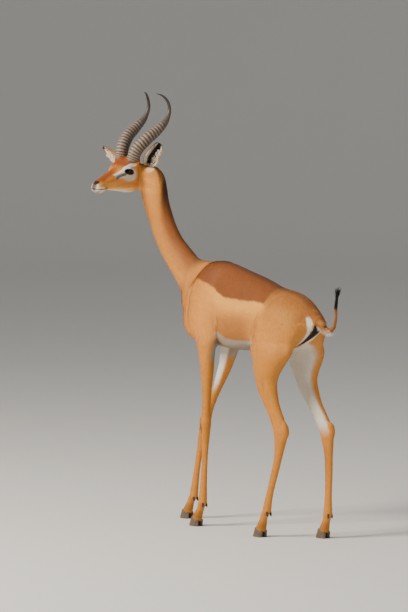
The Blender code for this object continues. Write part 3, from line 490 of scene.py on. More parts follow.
def trunk_field(p):
    """The barrel of chest and belly with shoulder blades, haunches and croup."""
    back, belly, half_width, narrowing = read_table(TRUNK, p[:, 1])
    middle = belly + BELLY_SHARE * (back - belly)
    half_height = np.where(p[:, 2] > middle, back - middle, middle - belly)
    level = (p[:, 2] - middle) / half_height
    across = p[:, 0] / (half_width * (1 - narrowing * np.clip(level, 0, 1)))
    ring = squared_ring(across, level, TRUNK_SQUARENESS)
    body = (ring - 1) * np.minimum(half_width, half_height)
    body = np.maximum(body, TRUNK[0][0] - p[:, 1])
    body = np.maximum(body, p[:, 1] - TRUNK[-1][0])
    for side in (-1, 1):
        for centre, radii, lean, width in TRUNK_BUMPS:
            bump = ellipsoid(p, np.multiply(centre, (side, 1, 1)), radii, pitched(lean))
            body = blend(body, bump, width)
    return body


def neck_field(p):
    """The long neck, from between the shoulder blades to the back of the head."""
    side, fore, half_width, half_depth = read_table(NECK, p[:, 2])
    ring = np.hypot((p[:, 0] - side) / half_width, (p[:, 1] - fore) / half_depth)
    tube = (ring - 1) * half_width
    tube = -blend(-tube, NECK[-1][0] - p[:, 2], NECK_TOP_ROUNDING)
    return np.maximum(tube, NECK[0][0] - p[:, 2])


def bowed(bow, level):
    """How far a leg's line stands off the straight way between its two upper joints."""
    return bow * np.sin(np.pi * np.clip(level, 0, 1) ** BOW_SKEW) ** BOW_POWER


def leg_place(p, joints, thickness, bow):
    """Steps of points off a leg's line, to the side and to the rear, in its half sizes there."""
    joints = np.asarray(joints)
    levels = np.arange(len(joints)) - 1.0
    heights = joints[:, 2]
    level = np.interp(-p[:, 2], -heights, levels)
    side, fore = smooth_through(levels, joints[:, :2], level)
    fore = fore + bowed(bow, level)
    half_side, half_depth = read_table(thickness, level)
    return (p[:, 0] - side) / half_side, (p[:, 1] - fore) / half_depth, half_side


def leg_field(p, joints, thickness, bow):
    """One leg as rings about the line through its joints, from thigh or shoulder down."""
    across, along, half_side = leg_place(p, joints, thickness, bow)
    leg = (np.hypot(across, along) - 1) * half_side
    leg = -blend(-leg, joints[0][2] + LEG_TOP_OVERLAP - p[:, 2], LEG_TOP_ROUNDING)
    coronet = HOOF_TOP - CORONET_SLOPE * (p[:, 1] - joints[-1][1]) - CORONET_OVERLAP
    return np.maximum(leg, coronet - p[:, 2])


def with_bump(leg, p, joint, bump, axes=None):
    """A leg with the bump of one of its joints."""
    step, radii, width = bump
    return blend(leg, ellipsoid(p, np.array(joint) + step, radii, axes), width)


def foreleg_field(p, joints):
    """A foreleg with its elbow and knee."""
    leg = leg_field(p, joints, FORE_THICKNESS, FORE_BOW)
    leg = with_bump(leg, p, joints[1], ELBOW)
    return with_bump(leg, p, joints[2], KNEE)


def hind_leg_field(p, joints):
    """A hind leg with the point of its hock."""
    bow = HIND_LEFT_BOW if joints is HIND_LEFT else HIND_RIGHT_BOW
    leg = leg_field(p, joints, HIND_THICKNESS, bow)
    return with_bump(leg, p, joints[2], HOCK_POINT, pitched(HOCK_LEAN))


def head_axes():
    """Head frame as rows: towards the nose, to the head's left, and up."""
    ahead = np.array((np.sin(HEAD_TURN), -np.cos(HEAD_TURN), 0.0))
    left = np.array((np.cos(HEAD_TURN), np.sin(HEAD_TURN), 0.0))
    up = np.array((0.0, 0.0, 1.0))
    tipped = left * np.cos(HEAD_ROLL) - up * np.sin(HEAD_ROLL)
    return np.stack((ahead, tipped, np.cross(ahead, tipped)))


def from_head(points):
    """Turn points of the head frame into the design frame."""
    return np.asarray(points) @ head_axes() + HEAD_AT


def to_head(p):
    """Turn points of the design frame into the head frame."""
    return (p - HEAD_AT) @ head_axes().T


def skull_field(q):
    """Head without eyes, ears or horns, in the head frame."""
    top, under, half_width, widening = read_table(HEAD, q[:, 0])
    level = (q[:, 2] - (top + under) / 2) / ((top - under) / 2)
    across = q[:, 1] / (half_width * (1 + widening * np.clip(level, -1, 1)))
    head = (squared_ring(across, level, HEAD_SQUARENESS) - 1) * half_width
    head = -blend(-head, HEAD[-1][0] - q[:, 0], MUZZLE_ROUNDING)
    head = np.maximum(head, HEAD[0][0] - q[:, 0])
    for side in (-1, 1):
        for centre, radii in SKULL_BUMPS:
            head = blend(head, ellipsoid(q, mirrored(centre, side), radii), SKULL_BLEND)
    return head


def eye_axes(side):
    """Frame of one eye: along the slit, up, and out through the pupil."""
    out = unit(mirrored(EYE_OUT, side))
    along = unit(np.cross((0, 0, 1), out))
    slit = along * np.cos(SLIT_TILT) - side * np.cross(out, along) * np.sin(SLIT_TILT)
    return np.stack((slit, np.cross(out, slit), out))


def eye_place(q, side):
    """Points in the frame of one eye, and how far out they lie in sizes of its opening."""
    e = (q - mirrored(EYE_AT, side)) @ eye_axes(side).T
    return e, np.hypot(e[:, 0] / EYE_OPENING[0], e[:, 1] / EYE_OPENING[1])


def lip_height(along):
    """Height of the line of the mouth."""
    return LIP_HEIGHT + LIP_RISE * np.maximum(LIP_FRONT - along, 0)


def face_relief(q):
    """Folds and hollows of the face, as a depth to take off the head field."""
    relief = np.zeros(len(q))
    for side in (-1, 1):
        s = q * (1, side, 1)
        e, ring = eye_place(s, 1)
        depth, reach, width = LID_FOLD
        above = (e[:, 1] > -0.004) * (e[:, 2] > 0)
        relief += depth * (np.exp(-(((ring - reach) / width) ** 2)) * above)
        depth, centre, radii = TEAR_GLAND
        relief += depth * np.exp(-(np.linalg.norm((s - centre) / radii, axis=1) ** 2))
        for depth, width, points in FACE_CREASES:
            relief += depth * crease(s, points, width)
    return relief


def face_field(q):
    """Head with lids round open eyes, nostrils and the line of the mouth."""
    head = skull_field(q) + face_relief(q)
    down = (np.cos(NOSTRIL_SLANT), np.sin(NOSTRIL_SLANT))
    slant = ((down[0], 0, -down[1]), (0, 1, 0), (down[1], 0, down[0]))
    for side in (-1, 1):
        lid_ball = np.linalg.norm(q - mirrored(EYE_AT, side), axis=1) - EYE_RADIUS - LID_THICKNESS
        head = blend(head, lid_ball, LID_BLEND)
        e, ring = eye_place(q, side)
        opening = np.maximum((ring - 1) * EYE_OPENING[1], EYE_RADIUS * SOCKET_FLOOR - e[:, 2])
        head = carve(head, opening, LID_EDGE)
        nostril = ellipsoid(q, mirrored(NOSTRIL_AT, side), NOSTRIL_RADII, slant)
        head = carve(head, nostril, NOSTRIL_EDGE)
    groove = LIP_LINE_HALF * np.clip(1 + head / LIP_LINE_DEPTH, 0, 2)
    fade = np.clip((q[:, 0] - MOUTH_CORNER) / MOUTH_FADE, -1, 1)
    return np.maximum(head, groove * fade - np.abs(q[:, 2] - lip_height(q[:, 0])))


def ear_frame(side):
    """Ear directions in the design frame: along it, across it and towards its back."""
    root = from_head(mirrored(EAR_ROOT, side))
    tip = from_head(EAR_TIP_LEFT if side > 0 else EAR_TIP_RIGHT)
    along = unit(tip - root)
    opening = mirrored(EAR_OPENING, side) @ head_axes()
    across = unit(np.cross(along, opening))
    return root, tip, along, across, -np.cross(across, along)


def ear_base_field(p, side):
    """The short round root of one ear."""
    root, _, along, _, _ = ear_frame(side)
    length, radius, loss = EAR_STEM
    share = np.clip((p - root) @ along / length, 0, 1)
    return np.linalg.norm(p - root - share[:, None] * along * length, axis=1) - radius + loss * share


def tail_stub_field(p):
    """The thick root of the tail that grows out of the croup."""
    root = np.array(TAIL_PATH[0])
    way = np.array(TAIL_PATH[2]) - root
    share = np.clip((p - root) @ way / (way @ way), 0, 1)
    radius = np.interp(share, (0, 0.5, 1), TAIL_RADII[:3])
    return np.linalg.norm(p - root - share[:, None] * way, axis=1) - radius


# Hollows of the body: |x|, y, z, radii, depth. Negative depths are swellings.
BODY_RELIEF = (
    ((0.100, 0.176, 0.785), (0.040, 0.012, 0.036), 0.0055),
    ((0.095, 0.392, 0.800), (0.050, 0.030, 0.060), 0.0055),
    ((0.060, 0.140, 0.950), (0.040, 0.030, 0.040), 0.0040),
    ((0.085, 0.010, 0.850), (0.030, 0.014, 0.060), 0.0040),
    ((0.060, 0.460, 0.900), (0.030, 0.030, 0.020), -0.0030),
    ((0.110, 0.450, 0.700), (0.030, 0.030, 0.060), -0.0030),
    ((0.115, 0.570, 0.700), (0.040, 0.018, 0.060), 0.0030),
    ((0.105, 0.105, 0.640), (0.020, 0.012, 0.070), 0.0020),
)
# Fold of skin where the neck turns to the left, ahead of the saddle; the dark line painted along it is
# painted shade in the fold
NECK_FOLD = ((0.012, 0.104, 1.024), (0.040, 0.078, 0.992), (0.066, 0.040, 0.948), (0.080, 0.006, 0.915))
NECK_FOLD_DEPTH = 0.0036
# Fold in front of the haunch, down to the flank: y and z. The rufous line painted along it is painted shade
# in the fold
FLANK_FOLD = ((0.485, 0.903), (0.457, 0.861), (0.429, 0.823), (0.396, 0.784), (0.384, 0.747))
FLANK_FOLD_DEPTH = 0.0026
# The fold fades out inwards between these distances from the middle of the body
FLANK_FOLD_FADE = (0.04, 0.07)
# Painted shadow behind the elbow, where the foreleg's rear edge overlaps the belly: y and z
ELBOW_SHADOW_LINE = ((0.177, 0.775), (0.174, 0.745), (0.168, 0.705))
# Hollow between shin and heel tendon on the outer side of each hind leg: its levels on the leg,
# steps outwards and to the rear from the leg's line, the heights between which it is read, depth
TENDON_LEVELS = (0.28, 0.92)
TENDON_STEPS = (0.024, 0.013)
TENDON_HEIGHTS = (0.36, 0.62)
TENDON_DEPTH = 0.0040


def body_relief(p):
    """Muscle hollows and skin folds of the body, as a depth to take off its field."""
    relief = np.zeros(len(p))
    upper = p[:, 2] > 0.55
    s = folded(p[upper], 0)
    for centre, radii, depth in BODY_RELIEF:
        relief[upper] += depth * np.exp(-(((s - centre) / radii) ** 2).sum(1))
    relief[upper] += NECK_FOLD_DEPTH * crease(p[upper], NECK_FOLD, 0.0065)
    flank = crease(s[:, 1:], FLANK_FOLD, 0.009)
    relief[upper] += FLANK_FOLD_DEPTH * flank * ramp(s[:, 0], *FLANK_FOLD_FADE)
    for joints, bow in ((HIND_LEFT, HIND_LEFT_BOW), (HIND_RIGHT, HIND_RIGHT_BOW)):
        line = []
        for level in np.linspace(*TENDON_LEVELS, 6):
            spot = np.array(joints[1]) + (np.array(joints[2]) - joints[1]) * level
            spot[1] += bowed(bow, level) + TENDON_STEPS[1]
            spot[0] += np.sign(spot[0]) * TENDON_STEPS[0]
            line.append(spot)
        near = (p[:, 2] > TENDON_HEIGHTS[0]) & (p[:, 2] < TENDON_HEIGHTS[1])
        relief[near] += TENDON_DEPTH * crease(p[near], line, 0.010)
    return relief


def flesh_field(p):
    """The whole skin: trunk, neck, head, legs, tail root and ear roots.

    Each part is read only in a box a little larger than the part.
    """
    body = np.full(len(p), 0.5)
    z = p[:, 2]

    def add(where, field, width):
        if where.any():
            body[where] = blend(body[where], field(p[where]), width)

    add(z > 0.60, trunk_field, 0.045)
    add(z > 0.80, neck_field, 0.045)
    for joints in (FORE_LEFT, FORE_RIGHT):
        near = (z < 0.90) & (p[:, 1] < 0.26) & (p[:, 0] * joints[0][0] > -0.01)
        add(near, lambda r, joints=joints: foreleg_field(r, joints), 0.022)
    for joints in (HIND_LEFT, HIND_RIGHT):
        near = (z < 0.88) & (p[:, 1] > 0.26) & (p[:, 0] * joints[0][0] > -0.01)
        add(near, lambda r, joints=joints: hind_leg_field(r, joints), 0.030)
    add((z < 0.90) & (p[:, 1] > 0.52), tail_stub_field, 0.020)
    body = body + body_relief(p)
    high = z > 1.15
    if high.any():
        r = p[high]
        head = blend(body[high], face_field(to_head(r)), 0.020)
        for side in (-1, 1):
            root, _, along, across, back = ear_frame(side)
            room = ellipsoid(r, root + along * EAR_ROOM_AT, EAR_ROOM_RADII, (along, across, back))
            head = carve(head, room, 0.006)
            head = blend(head, ear_base_field(r, side), 0.008)
        body[high] = head
    return body


def coat_depth(p):
    """How deep the skin lies under the tips of the coat."""
    face = head_share(p)
    feet = 1 - ramp(p[:, 2], 0.10, 0.45)
    thin = np.maximum(face, feet * 0.8)
    return COAT_DEPTH + (FACE_COAT_DEPTH - COAT_DEPTH) * thin


def skin_field(p):
    """The skin, inside the outline of the solids by the depth of the coat."""
    return flesh_field(p) + coat_depth(p)


def in_blocks(field, points):
    """Read a field for many points, a block at a time."""
    blocks = np.array_split(points, max(1, len(points) // 300000))
    return np.concatenate([field(block) for block in blocks])


def trace(field, low, high, step):
    """Mesh the surface of a field in a box: one point for each cell that it crosses."""
    low = np.asarray(low, float)
    counts = np.ceil((np.asarray(high) - low) / step).astype(int) + 1
    steps = [low[i] + step * np.arange(counts[i]) for i in range(3)]
    value = near_surface(field, steps, counts, step)
    for axis in range(3):
        edge = [slice(None)] * 3
        for end in (0, -1):
            edge[axis] = end
            value[tuple(edge)] = np.maximum(value[tuple(edge)], step * 0.5)
    fill_checkers(value, step)
    points = np.zeros(tuple(counts - 1) + (3,), np.float32)
    crossings = np.zeros(tuple(counts - 1), np.float32)
    for axis in range(3):
        for corner in range(4):
            start = np.zeros(3, int)
            start[(axis + 1) % 3] = corner & 1
            start[(axis + 2) % 3] = corner >> 1
            end = start.copy()
            end[axis] = 1
            a = cell_corner(value, start)
            b = cell_corner(value, end)
            crossed = (a < 0) != (b < 0)
            share = np.where(crossed, a / np.where(crossed, a - b, 1), 0)
            points += crossed[..., None] * start.astype(np.float32)
            points[..., axis] += share
            crossings += crossed
    used = crossings > 0
    number = np.cumsum(used).reshape(used.shape) - 1
    cells = np.argwhere(used)
    spots = low + step * (cells + points[used] / crossings[used][:, None])
    faces = []
    for axis in range(3):
        a = value[tuple(slice(1, -1) if i != axis else slice(None, -1) for i in range(3))]
        b = value[tuple(slice(1, -1) if i != axis else slice(1, None) for i in range(3))]
        for leaving in (True, False):
            spot = np.argwhere((a < 0) & (b >= 0) if leaving else (a >= 0) & (b < 0))
            spot += [0 if i == axis else 1 for i in range(3)]
            one = np.eye(3, dtype=int)[(axis + 1) % 3]
            two = np.eye(3, dtype=int)[(axis + 2) % 3]
            ring = (spot - one - two, spot - two, spot, spot - one)
            if not leaving:
                ring = ring[::-1]
            faces.append(np.stack([number[tuple(c.T)] for c in ring], 1))
    return spots, np.concatenate(faces)


def near_surface(field, steps, counts, step):
    """Grid values of a field, read finely only in the blocks that the surface may cross."""
    skip = 6
    coarse = [s[::skip] for s in steps]
    places = np.stack(np.meshgrid(*coarse, indexing="ij"), -1).reshape(-1, 3)
    rough = in_blocks(field, places).reshape([len(c) for c in coarse])
    value = rough
    for axis in range(3):
        value = np.repeat(value, skip, axis)
    value = np.ascontiguousarray(value[: counts[0], : counts[1], : counts[2]])
    close = np.abs(rough) < 2.6 * skip * step
    for axis in range(3):
        close = close | np.roll(close, 1, axis)
    for axis in range(3):
        close = np.repeat(close, skip, axis)
    close = close[: counts[0], : counts[1], : counts[2]]
    where = np.argwhere(close)
    spots = np.stack([steps[i][where[:, i]] for i in range(3)], 1)
    value[close] = in_blocks(field, spots)
    return value


def fill_checkers(value, step):
    """Fill one of two crossed open corners of a grid square, so that no edge gets four faces."""
    for _ in range(6):
        for axis in range(3):
            sheet = np.moveaxis(value, axis, 0)
            a = sheet[:, :-1, :-1]
            b = sheet[:, 1:, :-1]
            c = sheet[:, :-1, 1:]
            d = sheet[:, 1:, 1:]
            b[(a < 0) & (d < 0) & (b >= 0) & (c >= 0)] = -0.01 * step
            a[(a >= 0) & (d >= 0) & (b < 0) & (c < 0)] = -0.01 * step


def cell_corner(value, corner):
    """Values at one corner of every cell of a grid."""
    return value[tuple(slice(c, c + value.shape[i] - 1) for i, c in enumerate(corner))]


def slope_of(field, points):
    """Field value and slope at points."""
    small = 0.0004
    value = in_blocks(field, points)
    slope = np.stack([(in_blocks(field, points + small * e) - value) / small for e in np.eye(3)], 1)
    return value, slope


def head_share(p):
    """1 on the head, 0 on the neck and below."""
    return ramp(ahead_of_neck(p), 0.0, HEAD_CUT_DEPTH) * ramp(p[:, 2], *HEAD_CUT_HEIGHTS)


def ahead_of_neck(p):
    """How far a point lies ahead of the cut between neck and head."""
    q = to_head(p)
    return q[:, 0] * HEAD_CUT_FACING[0] + q[:, 2] * HEAD_CUT_FACING[1] + HEAD_CUT_BACK


def neck_share(p):
    """1 on the neck, 0 on the trunk."""
    return ramp((p - NECK_CUT_AT) @ NECK_CUT_FACING, *NECK_CUT_FADE)


def nape_facing(p):
    """How far a point of the neck lies towards the nape: 1 on the nape, -1 on the throat."""
    side, fore, half_width, half_depth = read_table(NECK, p[:, 2])
    turn = ramp(p[:, 2], *NAPE_TURN_HEIGHTS) * NAPE_TURN
    across = (p[:, 0] - side) / half_width
    along = (p[:, 1] - fore) / half_depth
    return along * np.cos(turn) - across * np.sin(turn)


def lie_of_coat(p):
    """Direction in which the hair lies, from root to tip."""
    side = np.sign(p[:, 0])[:, None]
    low = ramp(p[:, 2], 0.92, 0.72)[:, None]
    trunk = np.array((0, 0.96, -0.28)) + low * np.array((0, -0.25, -0.20)) + side * (0.05, 0, 0)
    haunch = ramp(p[:, 1], 0.40, 0.62)[:, None]
    trunk = trunk + haunch * np.array((0, -0.35, -0.75))
    legs = np.array((0.0, 0.10, -1.0))
    leg = ramp(p[:, 2], 0.78, 0.62)[:, None]
    way = unit(trunk * (1 - leg) + legs * leg)
    bend = read_table([row[:3] for row in NECK], p[:, 2]).T
    above = read_table([row[:3] for row in NECK], p[:, 2] + 0.01).T
    down = unit(np.column_stack((bend - above, np.full(len(p), -0.01))) + (0, 0.0015, 0))
    neck = neck_share(p)[:, None]
    way = way * (1 - neck) + down * neck
    q = to_head(p)
    back = np.column_stack((
        np.full(len(p), -1.0),
        0.22 * np.sign(q[:, 1]),
        np.where(q[:, 2] > -0.02, 0.10, -0.25),
    ))
    head = head_share(p)[:, None]
    return unit(way * (1 - head) + unit(back) @ head_axes() * head)


# Columns of a point in the tables of markings
X, Y, Z = 0, 1, 2
# Lower edge of the reddish saddle along the flank, and its front edge by height
SADDLE_EDGE = (
    (-0.02, 0.962), (0.045, 0.950), (0.100, 0.935), (0.141, 0.921), (0.170, 0.902), (0.206, 0.888),
    (0.264, 0.879), (0.350, 0.876), (0.440, 0.871), (0.470, 0.885), (0.520, 0.880), (0.600, 0.850),
)
SADDLE_FRONT = ((0.90, 0.000), (0.945, 0.030), (0.985, 0.066), (1.030, 0.098))
# Upper edge of the white belly
BELLY_EDGE = (
    (0.00, 0.735), (0.12, 0.742), (0.177, 0.752), (0.218, 0.735),
    (0.279, 0.724), (0.360, 0.731), (0.46, 0.735),
)
# Where the haunch begins, along the body
HAUNCH_FROM = (Y, 0.435, 0.475)
# Soft bands of colour on the trunk: limits as column, start and end; strength, colour
TRUNK_BANDS = (
    # Lower flank darker brown down to the belly: partly its own brown, partly painted shade where the flank
    # turns under
    (((Z, 0.848, 0.782), (Y, 0.11, 0.25), (Y, 0.42, 0.31)), 0.9, FLANK_BROWN),
    (((Y, 0.10, 0.0), (Z, 0.74, 0.86)), 0.35, NAPE_RUFOUS),
    ((HAUNCH_FROM, (Z, 0.760, 0.890)), 0.70, CROUP),
    ((HAUNCH_FROM, (Z, 0.73, 0.62)), 0.8, LEG_TAN),
)
REAR_BAND = ((Y, 0.575, 0.62), (Z, 0.79, 0.83))
BELLY_BAND = ((Z, 0.63, 0.66), (Y, 0.47, 0.42))
BELLY_LOW_PART = ((Y, 0.15, 0.19), (Y, 0.40, 0.37))
FORE_WHITE_BAND = ((Z, 0.49, 0.56), (Z, 0.80, 0.74), (Y, 0.26, 0.20))
THIGH_WHITE_BAND = ((Z, 0.37, 0.44), (Z, 0.86, 0.82), (Y, 0.34, 0.38))
# How far back the white of the thighs reaches, in half depths of the leg, left and right
THIGH_WHITE_LIMIT = (0.42, 0.82)
# White patch beside the tail: centre, radii
RUMP_PATCH = ((0.036, 0.640, 0.810), (0.008, 0.020, 0.028))
# White line down the rear of the thigh, and the dark cleft inside it: dark skin and painted shade
THIGH_LINE_BAND = ((Z, 0.655, 0.69), (Z, 0.83, 0.80))
CLEFT_BAND = ((Z, 0.675, 0.71), (Z, 0.806, 0.792))
REAR_SIDE = (0.52, 0.56)
# Brown brush on each knee: step from the joint, radii
KNEE_BRUSH = ((0, -0.012, -0.012), (0.024, 0.016, 0.030))

# Face markings, in the head frame. Edge of the rufous brow: along the head, height
BROW_LINE = ((-0.10, 0.040), (-0.03, 0.046), (0.02, 0.026), (0.055, 0.000), (0.10, -0.026), (0.14, -0.036))
# Inner edge of the white round the eyes: height, distance from the middle of the head
INNER_EDGE = ((-0.010, 0.0165), (0.012, 0.0310))
FAR_SIDE_EXTRA = 0.007
# Stripes: points along and up, distances where they end and where they are full, strength, colour
STRIPES = {
    "brow_edge": (
        ((0.045, 0.003), (0.017, 0.024), (-0.010, 0.044)), (0.0060, 0.0010), 0.55, KNEE_BROWN,
    ),
    "over_eye": (
        ((0.055, -0.006), (0.021, 0.014), (-0.010, 0.030), (-0.026, 0.030)), (0.0080, 0.0048), 1.0,
        WHITE_HAIR,
    ),
    "tear_gland": (
        ((0.047, -0.021), (0.034, -0.012), (0.018, -0.004)), (0.0085, 0.0025), 0.85, NOSE_SKIN,
    ),
    "temple": (
        ((-0.050, 0.020), (-0.052, 0.000), (-0.048, -0.030)), (0.0060, 0.0010), 0.55, KNEE_BROWN,
    ),
    "cheek": (
        ((-0.050, -0.045), (-0.020, -0.040), (0.02, -0.044)), (0.006, 0.001), 0.3, FLANK_BROWN,
    ),
}
# White wedge in front of the eye: points along and up
WHITE_WEDGE = ((0.046, -0.016), (0.030, -0.012), (0.018, -0.014))
# Dark corners of the eye: half length and half height
EYE_CORNERS = (0.0235, 0.0080)
# Tuft of long white hair at the foot of each ear: centre, radii
EAR_SPOT = (-0.069, 0.081, 0.011)
EAR_SPOT_RADII = (0.015, 0.018, 0.012)
# Painted shade round the foot of each horn: centre, radii
HORN_FOOT_SHADE = ((-0.030, 0.033, 0.058), (0.027, 0.026, 0.012))
# Muzzle: limits as column, start and end
CROWN_BAND = ((Z, 0.02, 0.036), (X, -0.045, -0.065))
PALE_JAW_BAND = ((Z, -0.050, -0.064), (X, 0.10, 0.05))
PALE_CHEEK_BAND = ((Z, -0.034, -0.042), (X, 0.030, 0.060))
LIPS_BAND = ((X, 0.088, 0.106), (Z, -0.049, -0.060))
# Painted shade under the front of the chin
CHIN_SHADE_BAND = ((X, 0.118, 0.126), (Z, -0.068, -0.073))
UPPER_LIP_SPOT = ((0.135, 0.014, -0.050), (0.009, 0.012, 0.007))
LIP_CORNER_SPOT = ((0.094, 0.020, -0.058), (0.009, 0.012, 0.006))


def paint(colour, mask, shade):
    """Lay a shade over colours where the mask is 1."""
    mask = np.clip(mask, 0, 1)[:, None]
    return colour * (1 - mask) + shade * mask


def ball(p, centre, radii):
    """Soft round mask that is 1 at its centre and 0 past its radii."""
    away = np.linalg.norm((p - np.asarray(centre)) / np.asarray(radii), axis=1)
    return ramp(away, 1.15, 0.85)


def within(p, limits):
    """Product of soft steps, each along one column of the points from its start to its end."""
    share = 1.0
    for column, start, end in limits:
        share = share * ramp(p[:, column], start, end)
    return share


def back_share(p, legs, thickness, bows):
    """How far back a point lies in the leg on its side, as a share of the leg's half depth."""
    left, right = (leg_place(p, joints, thickness, bow)[1] for joints, bow in zip(legs, bows))
    return np.where(p[:, 0] > 0, left, right)


def trunk_markings(p, n):
    """Saddle, flank, belly, croup, white rump and legs, with painted shade on the lower flank, under the
    belly, in the folds and behind the elbow.
    """
    x, y, z = p.T
    inner = -np.sign(x) * n[:, 0]
    wobble = 0.0015 * np.sin(y * 61 + x * 37) + 0.0010 * np.sin(y * 143 - 2)
    colour = np.tile(TAN, (len(p), 1))
    edge = np.interp(y, *np.transpose(SADDLE_EDGE)) + wobble
    colour = paint(colour, ramp(z, edge - 0.065, edge - 0.020) * ramp(y, 0.10, 0.18) * 0.55, TAN_PALE)
    for limits, strength, shade in TRUNK_BANDS:
        colour = paint(colour, within(p, limits) * strength, shade)
    haunch = within(p, (HAUNCH_FROM,))
    soft = 0.005 + 0.060 * haunch
    front = np.interp(z, *np.transpose(SADDLE_FRONT))
    saddle = ramp(z, edge - soft, edge + soft) * ramp(y, front - 0.004, front + 0.004)
    colour = paint(colour, saddle * (1 - 0.62 * haunch), SADDLE)
    spine = ramp(np.abs(x), 0.026, 0.006) * ramp(y, 0.05, 0.14) * ramp(n[:, 2], 0.3, 0.8)
    colour = paint(colour, spine * 0.65 * (1 - 0.4 * haunch), SPINE)
    colour = paint(colour, within(p, REAR_BAND) * 0.8, CROUP)
    # Painted shade: a dark line in the neck fold
    colour = paint(colour, crease(p, NECK_FOLD, 0.007) * 0.75, NAPE_DARK)
    # Painted shade: a rufous line in the flank fold
    fold = crease(p[:, 1:], FLANK_FOLD, 0.006) * ramp(np.abs(x), *FLANK_FOLD_FADE)
    colour = paint(colour, fold * 0.45, NAPE_RUFOUS)
    colour = paint(colour, ramp(z, 0.66, 0.56) * 0.9, LEG_TAN)
    belly = np.interp(y, *np.transpose(BELLY_EDGE)) + wobble
    under = ramp(z, belly + 0.004, belly - 0.004) * within(p, BELLY_BAND)
    under = under * np.maximum(ramp(inner, -0.55, -0.25), within(p, BELLY_LOW_PART))
    # The white belly is laid on as a darker grey-brown: partly painted shade under the belly
    colour = paint(colour, under, GREY_HAIR * 0.60 + TAN * 0.12)
    # Painted shadow: a dark line behind the elbow
    elbow = crease(p[:, 1:], ELBOW_SHADOW_LINE, 0.0050) * ramp(np.abs(x), 0.03, 0.05)
    colour = paint(colour, elbow * 0.8, NAPE_DARK)
    fore = back_share(p, (FORE_LEFT, FORE_RIGHT), FORE_THICKNESS, (FORE_BOW, FORE_BOW))
    hind = back_share(p, (HIND_LEFT, HIND_RIGHT), HIND_THICKNESS, (HIND_LEFT_BOW, HIND_RIGHT_BOW))
    fore_white = ramp(inner, 0.05, 0.45) * within(p, FORE_WHITE_BAND)
    colour = paint(colour, fore_white * ramp(fore, 0.62, 0.38), WHITE_HAIR)
    limit = np.where(x > 0, *THIGH_WHITE_LIMIT)
    thigh_white = ramp(inner, 0.22, 0.42) * within(p, THIGH_WHITE_BAND)
    thigh_white = thigh_white * ramp(hind, limit + 0.12, limit - 0.12)
    colour = paint(colour, thigh_white, GREY_HAIR * 0.35 + WHITE_HAIR * 0.65)
    return rump_markings(colour, p, n)


def rump_markings(colour, p, n):
    """White patch beside the tail, white line down the thigh, black in the cleft as dark skin and painted
    shade, brown knees and feet.
    """
    x, y, z = p.T
    patch = ball(folded(p, X), *RUMP_PATCH)
    colour = paint(colour, patch * ramp(z, 0.842, 0.832), WHITE_HAIR)
    half = 0.005 + 0.020 * ramp(z, 0.715, 0.790)
    off = np.abs(x) - half
    rear = ramp(y, *REAR_SIDE)
    line = ramp(off, 0.001, 0.005) * ramp(off, 0.017, 0.011) * within(p, THIGH_LINE_BAND)
    colour = paint(colour, line * rear, WHITE_HAIR)
    # Black in the deep cleft under the tail: partly dark skin, partly painted shade
    cleft = ramp(np.abs(x), half + 0.006, half - 0.003) * within(p, CLEFT_BAND)
    colour = paint(colour, cleft * rear, BLACK_HAIR)
    for joints in (FORE_LEFT, FORE_RIGHT):
        step, radii = KNEE_BRUSH
        brush = ball(p, np.array(joints[2]) + step, radii) * ramp(n[:, 1], 0.3, -0.3)
        colour = paint(colour, brush * 0.8, KNEE_BROWN)
    return paint(colour, ramp(z, 0.075, 0.045) * 0.45, KNEE_BROWN)


def neck_markings(p):
    """Tan neck with a rufous to dark brown nape and a pale throat."""
    rear = nape_facing(p)
    colour = np.tile(TAN, (len(p), 1))
    colour = paint(colour, ramp(rear, -0.2, 0.5) * ramp(p[:, 2], 1.30, 1.0) * 0.55, NAPE_RUFOUS)
    colour = paint(colour, ramp(rear, 0.35, 0.80), NAPE_RUFOUS)
    colour = paint(colour, ramp(rear, 0.50, 0.80) * ramp(p[:, 2], 1.14, 1.28), NAPE_DARK)
    colour = paint(colour, ramp(rear, 0.93, 1.0) * 0.6, SPINE)
    return paint(colour, ramp(rear, -0.75, -0.98) * 0.45, TAN_PALE)


def stripe(colour, name, flat, outer):
    """Paint one stripe of the face, on its outer side."""
    points, (end, full), strength, shade = STRIPES[name]
    return paint(colour, ramp(distance_to_line(flat, points), end, full) * outer * strength, shade)


